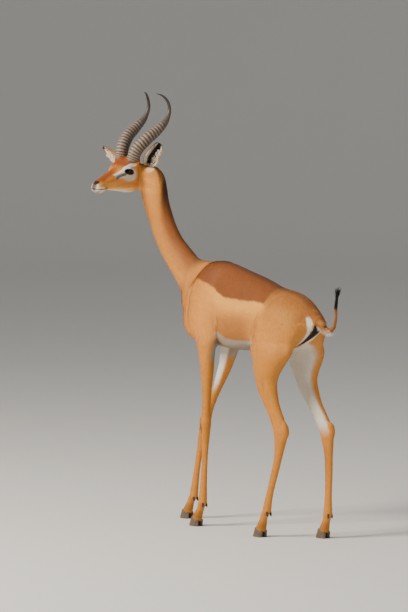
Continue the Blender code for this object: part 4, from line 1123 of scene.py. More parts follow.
def head_markings(q, n):
    """Rufous brow and bridge, white ring and stripe round the eye with painted shade on the ring, painted
    shade at the foot of the horns, dark lips and nostrils.
    """
    a, b, c = q.T
    s = folded(q, Y)
    flat = s[:, [X, Z]]
    up = n @ head_axes()[2]
    colour = np.tile(TAN, (len(q), 1))
    colour = paint(colour, ramp(a, 0.03, 0.07), MUZZLE_TAN)
    brow_line = np.interp(a, *np.transpose(BROW_LINE))
    colour = paint(colour, ramp(c, brow_line - 0.010, brow_line + 0.001), RUFOUS_FACE)
    colour = paint(colour, within(q, CROWN_BAND), NAPE_RUFOUS)
    colour = paint(colour, within(q, PALE_JAW_BAND), TAN_PALE)
    colour = paint(colour, ramp(up, -0.55, -0.85) * ramp(a, 0.11, 0.08) * 0.8, WHITE_HAIR)
    inner_edge = np.interp(c, *np.transpose(INNER_EDGE)) + FAR_SIDE_EXTRA * (b < 0)
    outer = ramp(s[:, Y], inner_edge, inner_edge + 0.0055)
    colour = stripe(colour, "brow_edge", flat, outer)
    field = np.hypot((a + 0.006) / 0.036, (c + 0.006) / 0.028)
    wedge = distance_to_line(flat, WHITE_WEDGE)
    white = np.maximum(ramp(field, 1.08, 0.78), ramp(wedge, 0.0120, 0.0050))
    # The white round the eye and in front of it is laid mostly grey as painted shade; the stripe over the eye
    # stays white
    colour = paint(colour, white * outer * 0.92, GREY_HAIR * 0.90 + WHITE_HAIR * 0.10)
    for name in ("over_eye", "tear_gland", "temple"):
        colour = stripe(colour, name, flat, outer)
    e, ring = eye_place(s, 1)
    corners = np.hypot(e[:, 0] / EYE_CORNERS[0], e[:, 1] / EYE_CORNERS[1])
    lids = np.maximum(ramp(ring, 1.42, 1.20), ramp(corners, 1.15, 0.90)) * (e[:, 2] > -0.004)
    colour = paint(colour, lids, DARK_SKIN)
    colour = stripe(colour, "cheek", flat, outer)
    spot = np.linalg.norm((s - EAR_SPOT) / EAR_SPOT_RADII, axis=1)
    colour = paint(colour, ramp(spot, 1.1, 0.4) * 0.85, WHITE_HAIR * 0.6 + TAN_PALE * 0.4)
    # Painted shade where the horn meets the head
    colour = paint(colour, ball(s, *HORN_FOOT_SHADE) * 0.65, NAPE_DARK)
    return muzzle_markings(colour, s)


def muzzle_markings(colour, s):
    """White lips with a dark nose pad and nostrils, and painted shade along the mouth line and under the
    chin.
    """
    a, b, c = s.T
    colour = paint(colour, within(s, PALE_CHEEK_BAND) * 0.45, TAN_PALE)
    spot = np.linalg.norm((s - UPPER_LIP_SPOT[0]) / UPPER_LIP_SPOT[1], axis=1)
    lips = np.maximum(within(s, LIPS_BAND), ramp(spot, 1.2, 0.5) * 0.8)
    colour = paint(colour, lips * 0.85, WHITE_HAIR * 0.75 + GREY_HAIR * 0.25)
    colour = paint(colour, ball(s, *LIP_CORNER_SPOT) * 0.5, KNEE_BROWN)
    pad = ramp(a - 0.35 * b, 0.1250, 0.1330) * ramp(c, -0.060, -0.050) * ramp(c, -0.030, -0.038)
    pad = np.maximum(pad, ramp(a - 0.25 * b, 0.1310, 0.1370) * ramp(c, -0.076, -0.066))
    colour = paint(colour, pad * 0.9, NOSE_SKIN)
    ahead = a - NOSTRIL_AT[0]
    round_nostril = np.hypot(ahead / 0.0115, (c - NOSTRIL_AT[2] + 0.5 * ahead) / 0.0050)
    colour = paint(colour, ramp(round_nostril, 1.25, 0.75), DARK_SKIN)
    # Painted shade along the groove of the mouth
    mouth = ramp(np.abs(c - lip_height(a)), 0.0026, 0.0006) * ramp(a, 0.086, 0.100) * 0.9
    colour = paint(colour, mouth, NOSE_SKIN)
    # Painted shade under the chin
    return paint(colour, within(s, CHIN_SHADE_BAND) * 0.5, NOSE_SKIN)


def markings(p, n):
    """Colour of the coat at points of the skin that face along n."""
    colour = trunk_markings(p, n)
    neck = neck_share(p)
    colour = paint(colour, neck, neck_markings(p))
    head = head_share(p)
    if (head > 0).any():
        colour = paint(colour, head, head_markings(to_head(p), n))
        nape = ramp(nape_facing(p), 0.38, 0.60) * ramp(ahead_of_neck(p), 0.058, 0.044)
        colour = paint(colour, head * nape, NAPE_DARK)
    return colour


def node(tree, kind, settings=None, links=None):
    """Add a node with settings: attributes by name, and sockets by name or number."""
    made = tree.nodes.new(kind)
    for name, value in (settings or {}).items():
        if isinstance(name, str) and hasattr(made, name):
            setattr(made, name, value)
        else:
            made.inputs[name].default_value = value
    for name, source in (links or {}).items():
        tree.links.new(source, made.inputs[name])
    return made


# Turn of the combed streaks on each part of the body
HAIR_TURNS = {
    "trunk": (1.29, 0.0, 0.0),
    "neck": (0.35, 0.20, 0.0),
    "leg": (0.1, 0.0, 0.0),
    "head": (0.0, 1.40, 0.10),
}


def new_material(name, roughness, **sockets):
    """A material with its surface shader: returns the material, its tree and the shader."""
    made = bpy.data.materials.new(name)
    made.use_nodes = True
    tree = made.node_tree
    surface = tree.nodes["Principled BSDF"]
    surface.inputs["Roughness"].default_value = roughness
    for socket, value in sockets.items():
        surface.inputs[socket.replace("_", " ")].default_value = value
    return made, tree, surface


def new_piece(name, points, faces, material, smooth=True):
    """A mesh object of the design frame's points, moved to the part's frame."""
    points = np.asarray(points, float) + SHIFT
    mesh = bpy.data.meshes.new(name)
    faces = np.asarray(faces)
    mesh.vertices.add(len(points))
    mesh.vertices.foreach_set("co", points.astype(np.float32).ravel())
    mesh.loops.add(faces.size)
    mesh.loops.foreach_set("vertex_index", faces.astype(np.int32).ravel())
    mesh.polygons.add(len(faces))
    mesh.polygons.foreach_set("loop_start", np.arange(0, faces.size, faces.shape[1], dtype=np.int32))
    mesh.update(calc_edges=True)
    mesh.validate()
    mesh.materials.append(material)
    made = bpy.data.objects.new(name, mesh)
    bpy.context.scene.collection.objects.link(made)
    if smooth:
        mesh.shade_smooth()
    return made


def set_colours(thing, colours):
    """Store one linear colour for each point of a piece."""
    layer = thing.data.color_attributes.new("coat", "FLOAT_COLOR", "POINT")
    full = np.ones((len(colours), 4), np.float32)
    full[:, :3] = colours
    layer.data.foreach_set("color", full.ravel())


def set_values(thing, name, values):
    """Store one number for each point of a piece."""
    layer = thing.data.attributes.new(name, "FLOAT", "POINT")
    layer.data.foreach_set("value", np.asarray(values, np.float32))


def skin_mesh():
    """Trace the body and the head, cut both level below the chin, and bridge the gap."""
    body = trace(skin_field, BODY_BOX[0], (*BODY_BOX[1], CHIN_LEVEL + 0.012), BODY_STEP)
    head = trace(skin_field, (*HEAD_BOX[0], CHIN_LEVEL - 0.010), HEAD_BOX[1], HEAD_STEP)
    b = bmesh.new()
    for (points, faces), keep_up in ((body, False), (head, True)):
        part = bmesh.new()
        mesh = bpy.data.meshes.new("part")
        mesh.from_pydata(points.tolist(), [], faces.tolist())
        part.from_mesh(mesh)
        bpy.data.meshes.remove(mesh)
        drop_small_shells(part)
        level = CHIN_LEVEL + (CHIN_GAP if keep_up else -CHIN_GAP)
        bmesh.ops.bisect_plane(
            part, geom=part.verts[:] + part.edges[:] + part.faces[:], dist=1e-6,
            plane_co=(0, 0, level), plane_no=(0, 0, 1), clear_inner=keep_up, clear_outer=not keep_up,
        )
        half = bpy.data.meshes.new("half")
        part.to_mesh(half)
        part.free()
        b.from_mesh(half)
        bpy.data.meshes.remove(half)
    rims = [e for e in b.edges if e.is_boundary]
    bmesh.ops.bridge_loops(b, edges=rims)
    bmesh.ops.triangulate(b, faces=b.faces[:])
    bmesh.ops.recalc_face_normals(b, faces=b.faces[:])
    points = np.array([v.co for v in b.verts])
    faces = np.array([[v.index for v in f.verts] for f in b.faces])
    b.free()
    return points, faces


def drop_small_shells(b):
    """Delete all but the largest closed surface of a mesh."""
    left = set(b.faces)
    groups = []
    while left:
        group = [left.pop()]
        for face in group:
            for edge in face.edges:
                for other in edge.link_faces:
                    if other in left:
                        left.discard(other)
                        group.append(other)
        groups.append(group)
    groups.sort(key=len)
    for group in groups[:-1]:
        bmesh.ops.delete(b, geom=group, context="FACES")


def settle(points):
    """Move traced points onto the exact skin and return them with their outward normals."""
    for _ in range(2):
        value, slope = slope_of(skin_field, points)
        size = np.maximum((slope**2).sum(1), 0.05)
        step = np.clip(value / size, -0.0015, 0.0015)
        points = points - slope * step[:, None]
    return points, unit(slope_of(skin_field, points)[1])


def hair_skin_material():
    """Skin under short flat hair.

    It gives the eye the soft satin of a combed coat: streaks that follow the lie of the hair,
    bunches a little lighter or darker, and no wet shine.
    """
    made, tree, surface = new_material(
        "short_hair_coat", 0.66, Sheen_Weight=0.06, Sheen_Roughness=0.45, Specular_IOR_Level=0.20
    )
    place = node(tree, "ShaderNodeTexCoord").outputs["Object"]
    total = None
    for name, turn in HAIR_TURNS.items():
        lined = node(
            tree, "ShaderNodeMapping",
            {"vector_type": "TEXTURE", "Rotation": turn, "Scale": (1, 1, HAIR_STREAK_STRETCH)},
            {"Vector": place},
        )
        noise = node(
            tree, "ShaderNodeTexNoise", {"Scale": HAIR_STREAKS, "Detail": 2.0, "Roughness": 0.6},
            {"Vector": lined.outputs[0]},
        )
        share = node(tree, "ShaderNodeAttribute", {"attribute_name": name + "_share"})
        streak = node(
            tree, "ShaderNodeMath", {"operation": "MULTIPLY"}, {0: noise.outputs[0], 1: share.outputs["Fac"]}
        ).outputs[0]
        if total is None:
            total = streak
        else:
            total = node(tree, "ShaderNodeMath", {"operation": "ADD"}, {0: total, 1: streak}).outputs[0]
    patches = node(
        tree, "ShaderNodeTexNoise", {"Scale": COAT_PATCHES, "Detail": 4.0, "Roughness": 0.6},
        {"Vector": place},
    )
    coat = node(tree, "ShaderNodeAttribute", {"attribute_name": "coat"})
    shade = node(tree, "ShaderNodeMapRange", {1: 0.3, 2: 0.7, 3: 0.80, 4: 1.16}, {0: total})
    patch = node(tree, "ShaderNodeMapRange", {1: 0.3, 2: 0.7, 3: 0.93, 4: 1.07}, {0: patches.outputs[0]})
    both = node(tree, "ShaderNodeMath", {"operation": "MULTIPLY"}, {0: shade.outputs[0], 1: patch.outputs[0]})
    mixed = node(
        tree, "ShaderNodeVectorMath", {"operation": "SCALE"},
        {0: coat.outputs["Color"], "Scale": both.outputs[0]},
    )
    tree.links.new(mixed.outputs[0], surface.inputs["Base Color"])
    bump = node(tree, "ShaderNodeBump", {"Strength": 0.5, "Distance": 0.0009}, {"Height": total})
    tree.links.new(bump.outputs[0], surface.inputs["Normal"])
    return made


def tuft_material(name, roughness):
    """Hair of the tufts: dull and dry, so the eye sees single flat hairs, each of its own tone."""
    made, tree, surface = new_material(name, roughness, Sheen_Weight=0.06, Specular_IOR_Level=0.22)
    coat = node(tree, "ShaderNodeAttribute", {"attribute_name": "coat"})
    place = node(tree, "ShaderNodeTexCoord").outputs["Object"]
    noise = node(tree, "ShaderNodeTexNoise", {"Scale": TUFT_TONES, "Detail": 1.0}, {"Vector": place})
    shade = node(tree, "ShaderNodeMapRange", {1: 0.3, 2: 0.7, 3: 0.86, 4: 1.12}, {0: noise.outputs[0]})
    mixed = node(
        tree, "ShaderNodeVectorMath", {"operation": "SCALE"},
        {0: coat.outputs["Color"], "Scale": shade.outputs[0]},
    )
    tree.links.new(mixed.outputs[0], surface.inputs["Base Color"])
    return made


def make_skin(material):
    """The one skin that stands for all nodes of flesh."""
    points, faces = skin_mesh()
    points, normals = settle(points)
    skin = new_piece("skin", points, faces, material)
    set_colours(skin, markings(points, normals))
    neck = neck_share(points)
    head = head_share(points)
    leg = ramp(points[:, 2], 0.78, 0.62)
    set_values(skin, "head_share", head)
    set_values(skin, "neck_share", neck * (1 - head))
    set_values(skin, "leg_share", leg * (1 - neck))
    set_values(skin, "trunk_share", (1 - leg) * (1 - neck))
    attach(skin, "root")
    flesh = ("torso", "neck", "head", "foreleg", "hindleg")
    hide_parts(*[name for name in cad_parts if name.startswith(flesh)])
    return points, normals, faces


def unwrap(p, part):
    """Place on a flat map of the skin, rolled off round the middle line of each part."""
    if part == "trunk":
        turn = np.arctan2(p[:, 0], p[:, 2] - 0.84)
        along = (p[:, 1] + 0.12) / 0.84
    elif part == "neck":
        side, fore, _, _ = read_table(NECK, p[:, 2])
        turn = np.arctan2(p[:, 0] - side, p[:, 1] - fore)
        along = (p[:, 2] - 0.80) / 0.60
    elif part == "head":
        q = to_head(p)
        turn = np.arctan2(q[:, 1], q[:, 2] + 0.02)
        along = (q[:, 0] + 0.16) / 0.32
    else:
        hind = p[:, 1] > 0.30 - 0.25 * ramp(p[:, 2], 0.5, 0.2)
        tables = ((FORE_RIGHT, FORE_LEFT), (HIND_RIGHT, HIND_LEFT))
        turn = np.zeros(len(p))
        lane = np.zeros(len(p))
        for i, pair in enumerate(tables):
            for j, joints in enumerate(pair):
                here = (hind == bool(i)) & ((p[:, 0] > 0) == bool(j))
                line = np.asarray(joints)[::-1]
                middle = [np.interp(p[here, 2], line[:, 2], line[:, k]) for k in (0, 1)]
                turn[here] = np.arctan2(p[here, 0] - middle[0], p[here, 1] - middle[1])
                lane[here] = i * 2 + j
        u = (lane + 0.04 + 0.92 * (turn / (2 * np.pi) + 0.5)) / 4
        return np.column_stack((u, np.clip(p[:, 2] / 0.86, 0.01, 0.99)))
    return np.column_stack((0.02 + 0.96 * (turn / (2 * np.pi) + 0.5), np.clip(along, 0.01, 0.99)))


def scatter(points, normals, faces, spacing, random):
    """Random places on a mesh: about one for each square of the given spacing at a face."""
    a, b, c = (points[faces[:, i]] for i in range(3))
    area = np.linalg.norm(np.cross(b - a, c - a), axis=1) / 2
    wanted = area / spacing((a + b + c) / 3) ** 2
    counts = np.floor(wanted + random.random(len(faces))).astype(int)
    pick = np.repeat(np.arange(len(faces)), counts)
    u = np.sqrt(random.random(len(pick)))[:, None]
    v = random.random(len(pick))[:, None]
    corners = faces[pick]
    weights = (1 - u, u * (1 - v), u * v)
    spots = sum(w * points[corners[:, i]] for i, w in enumerate(weights))
    outward = unit(sum(w * normals[corners[:, i]] for i, w in enumerate(weights)))
    return spots, outward


# Tufts: fan between the hairs of one, stray of a hair, stray tilt of its blade, depth of its root
HAIR_FAN = 0.22
HAIR_STRAY = 0.16
HAIR_TILT = 0.20
ROOT_DEPTH = 0.0006
# Tone of a hair at its two root points, two middle points and tip; the darker roots are painted shade among
# the hairs
HAIR_ROOT_SHADE_AND_TONES = (0.92, 0.92, 1.0, 1.0, 1.05)
HAIR_FACES = ((0, 1, 3), (0, 3, 2), (2, 3, 4))
# Most tufts of two hairs in one piece, and the size of a tuft on its map
MOST_TUFTS = 31000
PATCH = 0.003
PATCH_CORNERS = ((-1, -1), (1, -1), (-1, 0), (1, 0), (0, 1))


def tuft_mesh(roots, normals, ways, lengths, widths, lifts, colours, random, hairs=2):
    """Tapered hairs of three triangles each, bent along the skin, in tufts of a few hairs."""
    count = len(roots)
    points = []
    shades = []
    for h in range(hairs):
        across = unit(np.cross(ways, normals))
        spread = random.normal(0, HAIR_STRAY, (count, 1)) + HAIR_FAN * (h - (hairs - 1) / 2)
        way = unit(ways + across * spread)
        across = unit(np.cross(way, normals) + normals * random.normal(0, HAIR_TILT, (count, 1)))
        long = (lengths * random.uniform(0.75, 1.15, count))[:, None]
        wide = (widths * random.uniform(0.75, 1.2, count))[:, None]
        lift = (lifts * random.uniform(0.6, 1.4, count))[:, None]
        start = roots + across * wide * (h - (hairs - 1) / 2) * 0.9 - normals * ROOT_DEPTH
        middle = start + way * long * 0.5 + normals * (lift * 0.70 + ROOT_DEPTH)
        tip = start + way * long + normals * (lift + ROOT_DEPTH)
        points.append(np.stack((
            start - across * wide * 0.35, start + across * wide * 0.35,
            middle - across * wide * 0.5, middle + across * wide * 0.5, tip,
        ), 1))
        tone = random.normal(1.0, 0.05, (count, 1, 1)) * np.array(HAIR_ROOT_SHADE_AND_TONES)[None, :, None]
        shades.append(colours[:, None, :] * tone)
    points = np.stack(points, 1)
    shades = np.stack(shades, 1)
    base = 5 * np.arange(count * hairs)[:, None, None]
    faces = (base + np.array(HAIR_FACES)).reshape(-1, 3)
    return points.reshape(-1, 3), faces, np.clip(shades.reshape(-1, 3), 0, 1)


def add_coat(name, tufts, places, material, random, hairs=2):
    """Coat pieces of tufts, each piece under the most triangles, with its map of root places."""
    most = MOST_TUFTS * 2 // hairs
    for k, start in enumerate(range(0, len(places), most)):
        part = slice(start, start + most)
        points, faces, shades = tuft_mesh(*[column[part] for column in tufts], random, hairs)
        coat = new_piece(f"{name}_{k}", points, faces, material, smooth=False)
        set_colours(coat, shades)
        corners = np.tile(np.array(PATCH_CORNERS) * PATCH / 2, (hairs, 1))
        spots = (places[part][:, None, :] + corners[None]).reshape(-1, 2)
        layer = coat.data.uv_layers.new(name="OFBake")
        layer.data.foreach_set("uv", spots[faces.ravel()].astype(np.float32).ravel())
        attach(coat, "root")


# Coat of each part: hair length, hair width, lift of the tips, spacing of the tufts
COAT = {
    "trunk": (0.0120, 0.0013, 0.0008, 0.0036),
    "neck": (0.0110, 0.0012, 0.0008, 0.0033),
    "leg": (0.0080, 0.0010, 0.0007, 0.0029),
    "head": (0.0046, 0.00060, 0.0005, 0.0016),
}


def make_coat(points, normals, faces):
    """Short flat tufts over the whole skin."""
    random = np.random.default_rng(11)
    material = tuft_material("flat_hair_tufts", 0.60)
    middle = points[faces].mean(1)
    shares = {"head": head_share(middle), "neck": neck_share(middle), "leg": ramp(middle[:, 2], 0.74, 0.66)}
    part = np.full(len(faces), "trunk")
    part[shares["leg"] > 0.5] = "leg"
    part[shares["neck"] > 0.5] = "neck"
    part[shares["head"] > 0.5] = "head"
    for name, (length, width, lift, space) in COAT.items():
        own = faces[part == name]

        def spacing(at, name=name, space=space):
            if name != "leg":
                return np.full(len(at), space)
            return space * (0.62 + 0.38 * ramp(at[:, 2], 0.05, 0.45))

        roots, outward = scatter(points, normals, own, spacing, random)
        keep = coat_grows(roots)
        roots = roots[keep]
        outward = outward[keep]
        ways = lie_of_coat(roots)
        ways = unit(ways - outward * (ways * outward).sum(1)[:, None])
        size = coat_size(roots, name)
        tufts = (roots, outward, ways, length * size, width * size, lift * size, markings(roots, outward))
        add_coat("coat_" + name, tufts, unwrap(roots, name), material, random)


def coat_size(p, name):
    """Hair size by place: smaller on the muzzle and towards the hooves."""
    if name == "leg":
        return 0.50 + 0.50 * ramp(p[:, 2], 0.05, 0.45)
    if name == "head":
        s = folded(to_head(p), Y)
        fluff = ball(s, EAR_SPOT, EAR_SPOT_RADII)
        return (0.70 + 0.50 * ramp(s[:, X], 0.06, -0.06)) * (1 + 1.4 * fluff)
    return np.ones(len(p))


def coat_grows(p):
    """True where hair grows: not on nose pad, nostrils, mouth line or lid rims."""
    s = folded(to_head(p), Y)
    e, ring = eye_place(s, 1)
    eye = (ring < 1.30) & (e[:, 2] > -0.006)
    nose = (s[:, X] - 0.35 * s[:, Y] > 0.128) & (s[:, Z] > -0.068)
    mouth = (np.abs(s[:, Z] - lip_height(s[:, X])) < 0.0022) & (s[:, X] > 0.088)
    on_head = head_share(p) > 0.5
    return ~(on_head & (eye | nose | mouth))


def frames_along(path, guide):
    """Across and upward directions along a path, kept steady by a guide direction."""
    ways = unit(np.gradient(path, axis=0))
    across = unit(np.cross(ways, guide))
    return across, np.cross(across, ways)


def read_path(path, columns, shares):
    """Read columns of values that belong to the points of a path at shares of its length."""
    steps = np.linalg.norm(np.diff(path, axis=0), axis=1)
    knots = np.concatenate(((0,), np.cumsum(steps))) / steps.sum()
    return smooth_through(knots, columns, shares)


def facing_out(points, faces):
    """Faces of a closed surface, turned so that they face outwards."""
    a, b, c = (points[faces[:, i]] - points.mean(0) for i in range(3))
    return faces if (a * np.cross(b, c)).sum() > 0 else faces[:, ::-1]


def shell(rings):
    """Points and faces of a closed surface through a stack of rings, with pointed ends."""
    rows, sides, _ = rings.shape
    points = np.concatenate((rings.reshape(-1, 3), rings[:1].mean(1), rings[-1:].mean(1)))
    grid = np.arange(rows * sides).reshape(rows, sides)
    after = np.roll(grid, -1, 1)
    a, b, c, d = (part.ravel() for part in (grid[:-1], after[:-1], after[1:], grid[1:]))
    first = np.full(sides, rows * sides)
    faces = np.concatenate((
        np.column_stack((a, b, c)), np.column_stack((a, c, d)),
        np.column_stack((first, after[0], grid[0])), np.column_stack((first + 1, grid[-1], after[-1])),
    ))
    return points, facing_out(points, faces)


def round_rings(line, guide, radii, sides):
    """Elliptical rings round a line, with the outward direction at each point."""
    across, upward = frames_along(line, guide)
    turns = 2 * np.pi * np.arange(sides) / sides
    out = across[:, None] * np.cos(turns)[None, :, None] + upward[:, None] * np.sin(turns)[None, :, None]
    wide = across[:, None] * (radii[:, :1] * np.cos(turns))[..., None]
    high = upward[:, None] * (radii[:, 1:] * np.sin(turns))[..., None]
    return line[:, None] + wide + high, out, turns


def horn_line(side, shares):
    """Middle line of a horn in the design frame at shares of its length."""
    path = np.array([mirrored(p, side) for p in HORN_PATH])
    return from_head(read_path(path, path, shares).T)


# Horn from groove, in painted shade, to crest, with a painted highlight: place on the ramp, colour
HORN_COLOURS = ((0.10, "#2A201A"), (0.42, "#463930"), (0.75, "#665748"), (1.0, "#8E7A66"))
HORN_TIP_COLOUR = "#2A211C"


def horn_material():
    """Horn: keratin grown in rings, with stains at random.

    It gives pale dull crests with a painted highlight over dark grooves in painted shade, a fine
    grain along the horn, and a tip that is darker and worn to a gloss.
    """
    made, tree, surface = new_material("horn_keratin_ringed", 0.42, Specular_IOR_Level=0.5)
    surface.inputs["IOR"].default_value = 1.55
    place = node(tree, "ShaderNodeTexCoord").outputs["Object"]
    ridge = node(tree, "ShaderNodeAttribute", {"attribute_name": "ridge"})
    tip = node(tree, "ShaderNodeAttribute", {"attribute_name": "along"})
    stretched = node(tree, "ShaderNodeMapping", {"Scale": (1, 1, 0.25)}, {"Vector": place})
    fibres = node(
        tree, "ShaderNodeTexNoise", {"Scale": HORN_FIBRES, "Detail": 4.0, "Roughness": 0.65},
        {"Vector": stretched.outputs[0]},
    )
    stains = node(
        tree, "ShaderNodeTexNoise", {"Scale": HORN_STAINS, "Detail": 5.0, "Roughness": 0.7}, {"Vector": place}
    )
    # Painted highlight on the crests and painted shade in the grooves, broken by stains
    crest_light_and_stains = node(
        tree, "ShaderNodeMath", {"operation": "MULTIPLY_ADD", 1: 0.55},
        {0: stains.outputs[0], 2: ridge.outputs["Fac"]},
    )
    crest_light_ramp = node(tree, "ShaderNodeValToRGB", None, {"Fac": crest_light_and_stains.outputs[0]})
    stops = crest_light_ramp.color_ramp.elements
    for stop, (where, code) in zip(stops, (HORN_COLOURS[0], HORN_COLOURS[-1])):
        stop.position = where
        stop.color = (*linear(code), 1)
    for where, code in HORN_COLOURS[1:-1]:
        stops.new(where).color = (*linear(code), 1)
    dark = node(tree, "ShaderNodeMapRange", {1: 0.64, 2: 0.86, 3: 0.0, 4: 0.85}, {0: tip.outputs["Fac"]})
    mixed = node(
        tree, "ShaderNodeMix", {"data_type": "RGBA", 7: (*linear(HORN_TIP_COLOUR), 1)},
        {0: dark.outputs[0], 6: crest_light_ramp.outputs[0]},
    )
    tree.links.new(mixed.outputs[2], surface.inputs["Base Color"])
    gloss = node(tree, "ShaderNodeMapRange", {1: 0.6, 2: 0.9, 3: 0.56, 4: 0.34}, {0: tip.outputs["Fac"]})
    tree.links.new(gloss.outputs[0], surface.inputs["Roughness"])
    bump = node(tree, "ShaderNodeBump", {"Strength": 0.35, "Distance": 0.0007}, {"Height": fibres.outputs[0]})
    tree.links.new(bump.outputs[0], surface.inputs["Normal"])
    return made


def make_horn(name, side, material):
    """A horn with close rings low down, wider knobs above, and a smooth hooked tip."""
    shares = np.linspace(0.0, 1.0, HORN_ROWS)
    radii = read_table(HORN_TAPER, shares)[0][:, None] * HORN_RADII
    rings, out, turns = round_rings(horn_line(side, shares), head_axes()[0], radii, HORN_SIDES)
    part = shares / RINGED_PART
    phase = (RING_COUNT * part**RING_CROWDING)[:, None] + 0.10 * np.sin(turns * 2 + 1.3)[None]
    ring = np.abs(np.sin(np.pi * phase)) ** 1.25
    strength = (ramp(part, 1.06, 0.80) * ramp(part, 0.0, 0.05))[:, None]
    front = 0.66 + 0.34 * (out @ head_axes()[0])
    uneven = 1 + 0.24 * np.sin(turns * 2 + phase * 1.7) + 0.18 * np.sin(turns * 5 + phase * 4.1)
    rise = RING_HEIGHT * (ring - 0.45) * strength * front * uneven * (1 - 0.25 * part)[:, None]
    points, faces = shell(rings + out * rise[..., None])
    horn = new_piece(name, points, faces, material)
    # Crest height, which the material turns into a painted highlight on crests and painted shade in grooves
    ridge = ring * strength * front + 0.30 * (1 - strength)
    set_values(horn, "ridge", np.append(ridge.ravel(), (0.2, 0.2)))
    set_values(horn, "along", np.append(np.repeat(shares, HORN_SIDES), (0, 1)))
    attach(horn, "root")
    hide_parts(name.replace("ringed_", ""))


def leaf_point(side, s, u, wall):
    """Points of an ear: share of its length, place across it from -1 to 1, height off its middle."""
    root, tip, along, across, back = ear_frame(side)
    length = np.linalg.norm(tip - root)
    power = np.where(s < EAR_WIDEST, *EAR_OUTLINE)
    half = EAR_HALF_WIDTH * np.sin(np.pi * np.minimum(s, 0.995) ** EAR_SKEW) ** power
    half = np.maximum(half, EAR_LEAST_HALF_WIDTH)
    bend = np.radians(EAR_BEND[0] - EAR_BEND[1] * s)
    radius = half / np.sin(np.minimum(bend, np.pi / 2))
    out = across * np.sin(bend * u)[..., None] + back * np.cos(bend * u)[..., None]
    middle = root + along * (length * s)[..., None] - back * (EAR_BOW * np.sin(np.pi * s))[..., None]
    point = middle + out * (radius + wall * (1.0 - 0.45 * s))[..., None] - back * (radius * 0.35)[..., None]
    return point, out


def make_ear(name, side, material, random):
    """An ear cup: tan behind, black within, white along its front rim and under its rear rim."""
    rows, columns = EAR_GRID
    s, u = np.meshgrid(np.linspace(EAR_CUP_START, 1.0, rows), np.linspace(-1, 1, columns), indexing="ij")
    thick = EAR_WALL / 2 * np.sqrt(1 - np.abs(u) ** 8 + 0.02)
    outer, _ = leaf_point(side, s, u, thick)
    inner, _ = leaf_point(side, s, u, -thick)
    points, faces = shell(np.concatenate((outer, inner[:, -2:0:-1]), 1))
    ear = new_piece(name, points, faces, material)
    behind = paint(paint(np.tile(TAN, (s.size, 1)), ramp(s, 0.5, 0.9).ravel(), CROUP),
                   ramp(s, 0.93, 1.0).ravel(), NAPE_DARK)
    inside = np.tile(DARK_SKIN, (s.size, 1))
    front = (-u * side).ravel()
    white = np.maximum(ramp(front, 0.38, 0.50), ramp(front, -0.55, -0.70)) * ramp(s, 0.98, 0.90).ravel()
    inside = paint(inside, white, WHITE_HAIR * 0.85)
    inside = paint(inside, ramp(np.abs(front), 0.92, 0.97), CROUP)
    behind, inside = (colours.reshape(rows, columns, 3) for colours in (behind, inside))
    colours = np.concatenate((behind, inside[:, -2:0:-1]), 1)
    set_colours(ear, np.concatenate((colours.reshape(-1, 3), [TAN, NAPE_DARK])))
    set_values(ear, "head_share", np.ones(len(points)))
    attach(ear, "root")
    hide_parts(name)
    ear_hair(name, side, random)


# Hair of an ear: number, place along it and from rear rim to front rim, length, lean to the front, colour
EAR_BUNCHES = (
    (680, (0.12, 0.90), (0.52, 0.98), 0.0130, 0.00, WHITE_HAIR),
    (560, (0.06, 0.72), (-0.85, -0.05), 0.0230, -0.45, WHITE_HAIR),
    (420, (0.20, 0.90), (-0.55, 0.42), 0.0060, 0.00, BLACK_HAIR),
)
HAIRS_IN_BUNCH = 14
EAR_RIM_HAIRS = 520


def ear_hair(name, side, random):
    """Long white hair inside the ear and short tan hair round its rim."""
    _, _, along, across, back = ear_frame(side)
    ahead = -side * across
    parts = []
    for count, span, band, length, lean, colour in EAR_BUNCHES:
        bunch = random.integers(0, count // HAIRS_IN_BUNCH, count)
        s = random.uniform(*span, count)[bunch] + random.normal(0, 0.022, count)
        u = random.uniform(*band, count)[bunch] + random.normal(0, 0.05, count)
        u = -side * np.clip(u, -0.99, 0.99)
        roots, out = leaf_point(side, s, u, np.full(count, -EAR_WALL / 2))
        stray = random.normal(0, 0.12, (count, 3))[bunch] + random.normal(0, 0.06, (count, 3))
        ways = unit(along * 0.9 - out * 0.50 - back * 0.15 + ahead * lean + stray)
        lengths = np.full(count, length) * (1.1 - 0.5 * s)
        parts.append((roots, -out, ways, lengths, np.tile(colour, (count, 1)), s, u))
    s = random.uniform(0.12, 0.99, EAR_RIM_HAIRS)
    u = np.where(random.random(EAR_RIM_HAIRS) < 0.5, -1.0, 1.0)
    roots, out = leaf_point(side, s, u, np.zeros(EAR_RIM_HAIRS))
    ways = unit(along * 0.8 + out * 0.25 - back * 0.5 + random.normal(0, 0.12, (EAR_RIM_HAIRS, 3)))
    rim = paint(np.tile(TAN, (EAR_RIM_HAIRS, 1)), ramp(s, 0.75, 0.97), NAPE_DARK)
    parts.append((roots, out, ways, np.full(EAR_RIM_HAIRS, 0.0055), rim, s, u))
    roots, normals, ways, lengths, colours, s, u = (np.concatenate(column) for column in zip(*parts))
    places = np.column_stack((0.5 + 0.48 * u, s))
    tufts = (roots, normals, ways, lengths, np.full(len(s), 0.0009), lengths * 0.10, colours)
    add_coat("hair_" + name, tufts, places, tuft_material("ear_hair", 0.6), random)


TAIL_ROWS = 90
TAIL_SIDES = 24
TAIL_COAT_DEPTH = 0.001
# Hairs of the tail: number, span along it, length, spread from its line
TAIL_HAIRS = (
    (2600, (0.10, 0.80), 0.009, 0.06),
    (560, (0.76, 0.97), 0.014, 0.07),
    (70, (0.94, 1.0), 0.040, 0.06),
)
# White hairs under its root, of which only those that face down grow
WHITE_TAIL_HAIRS = (420, (0.05, 0.42), 0.024)


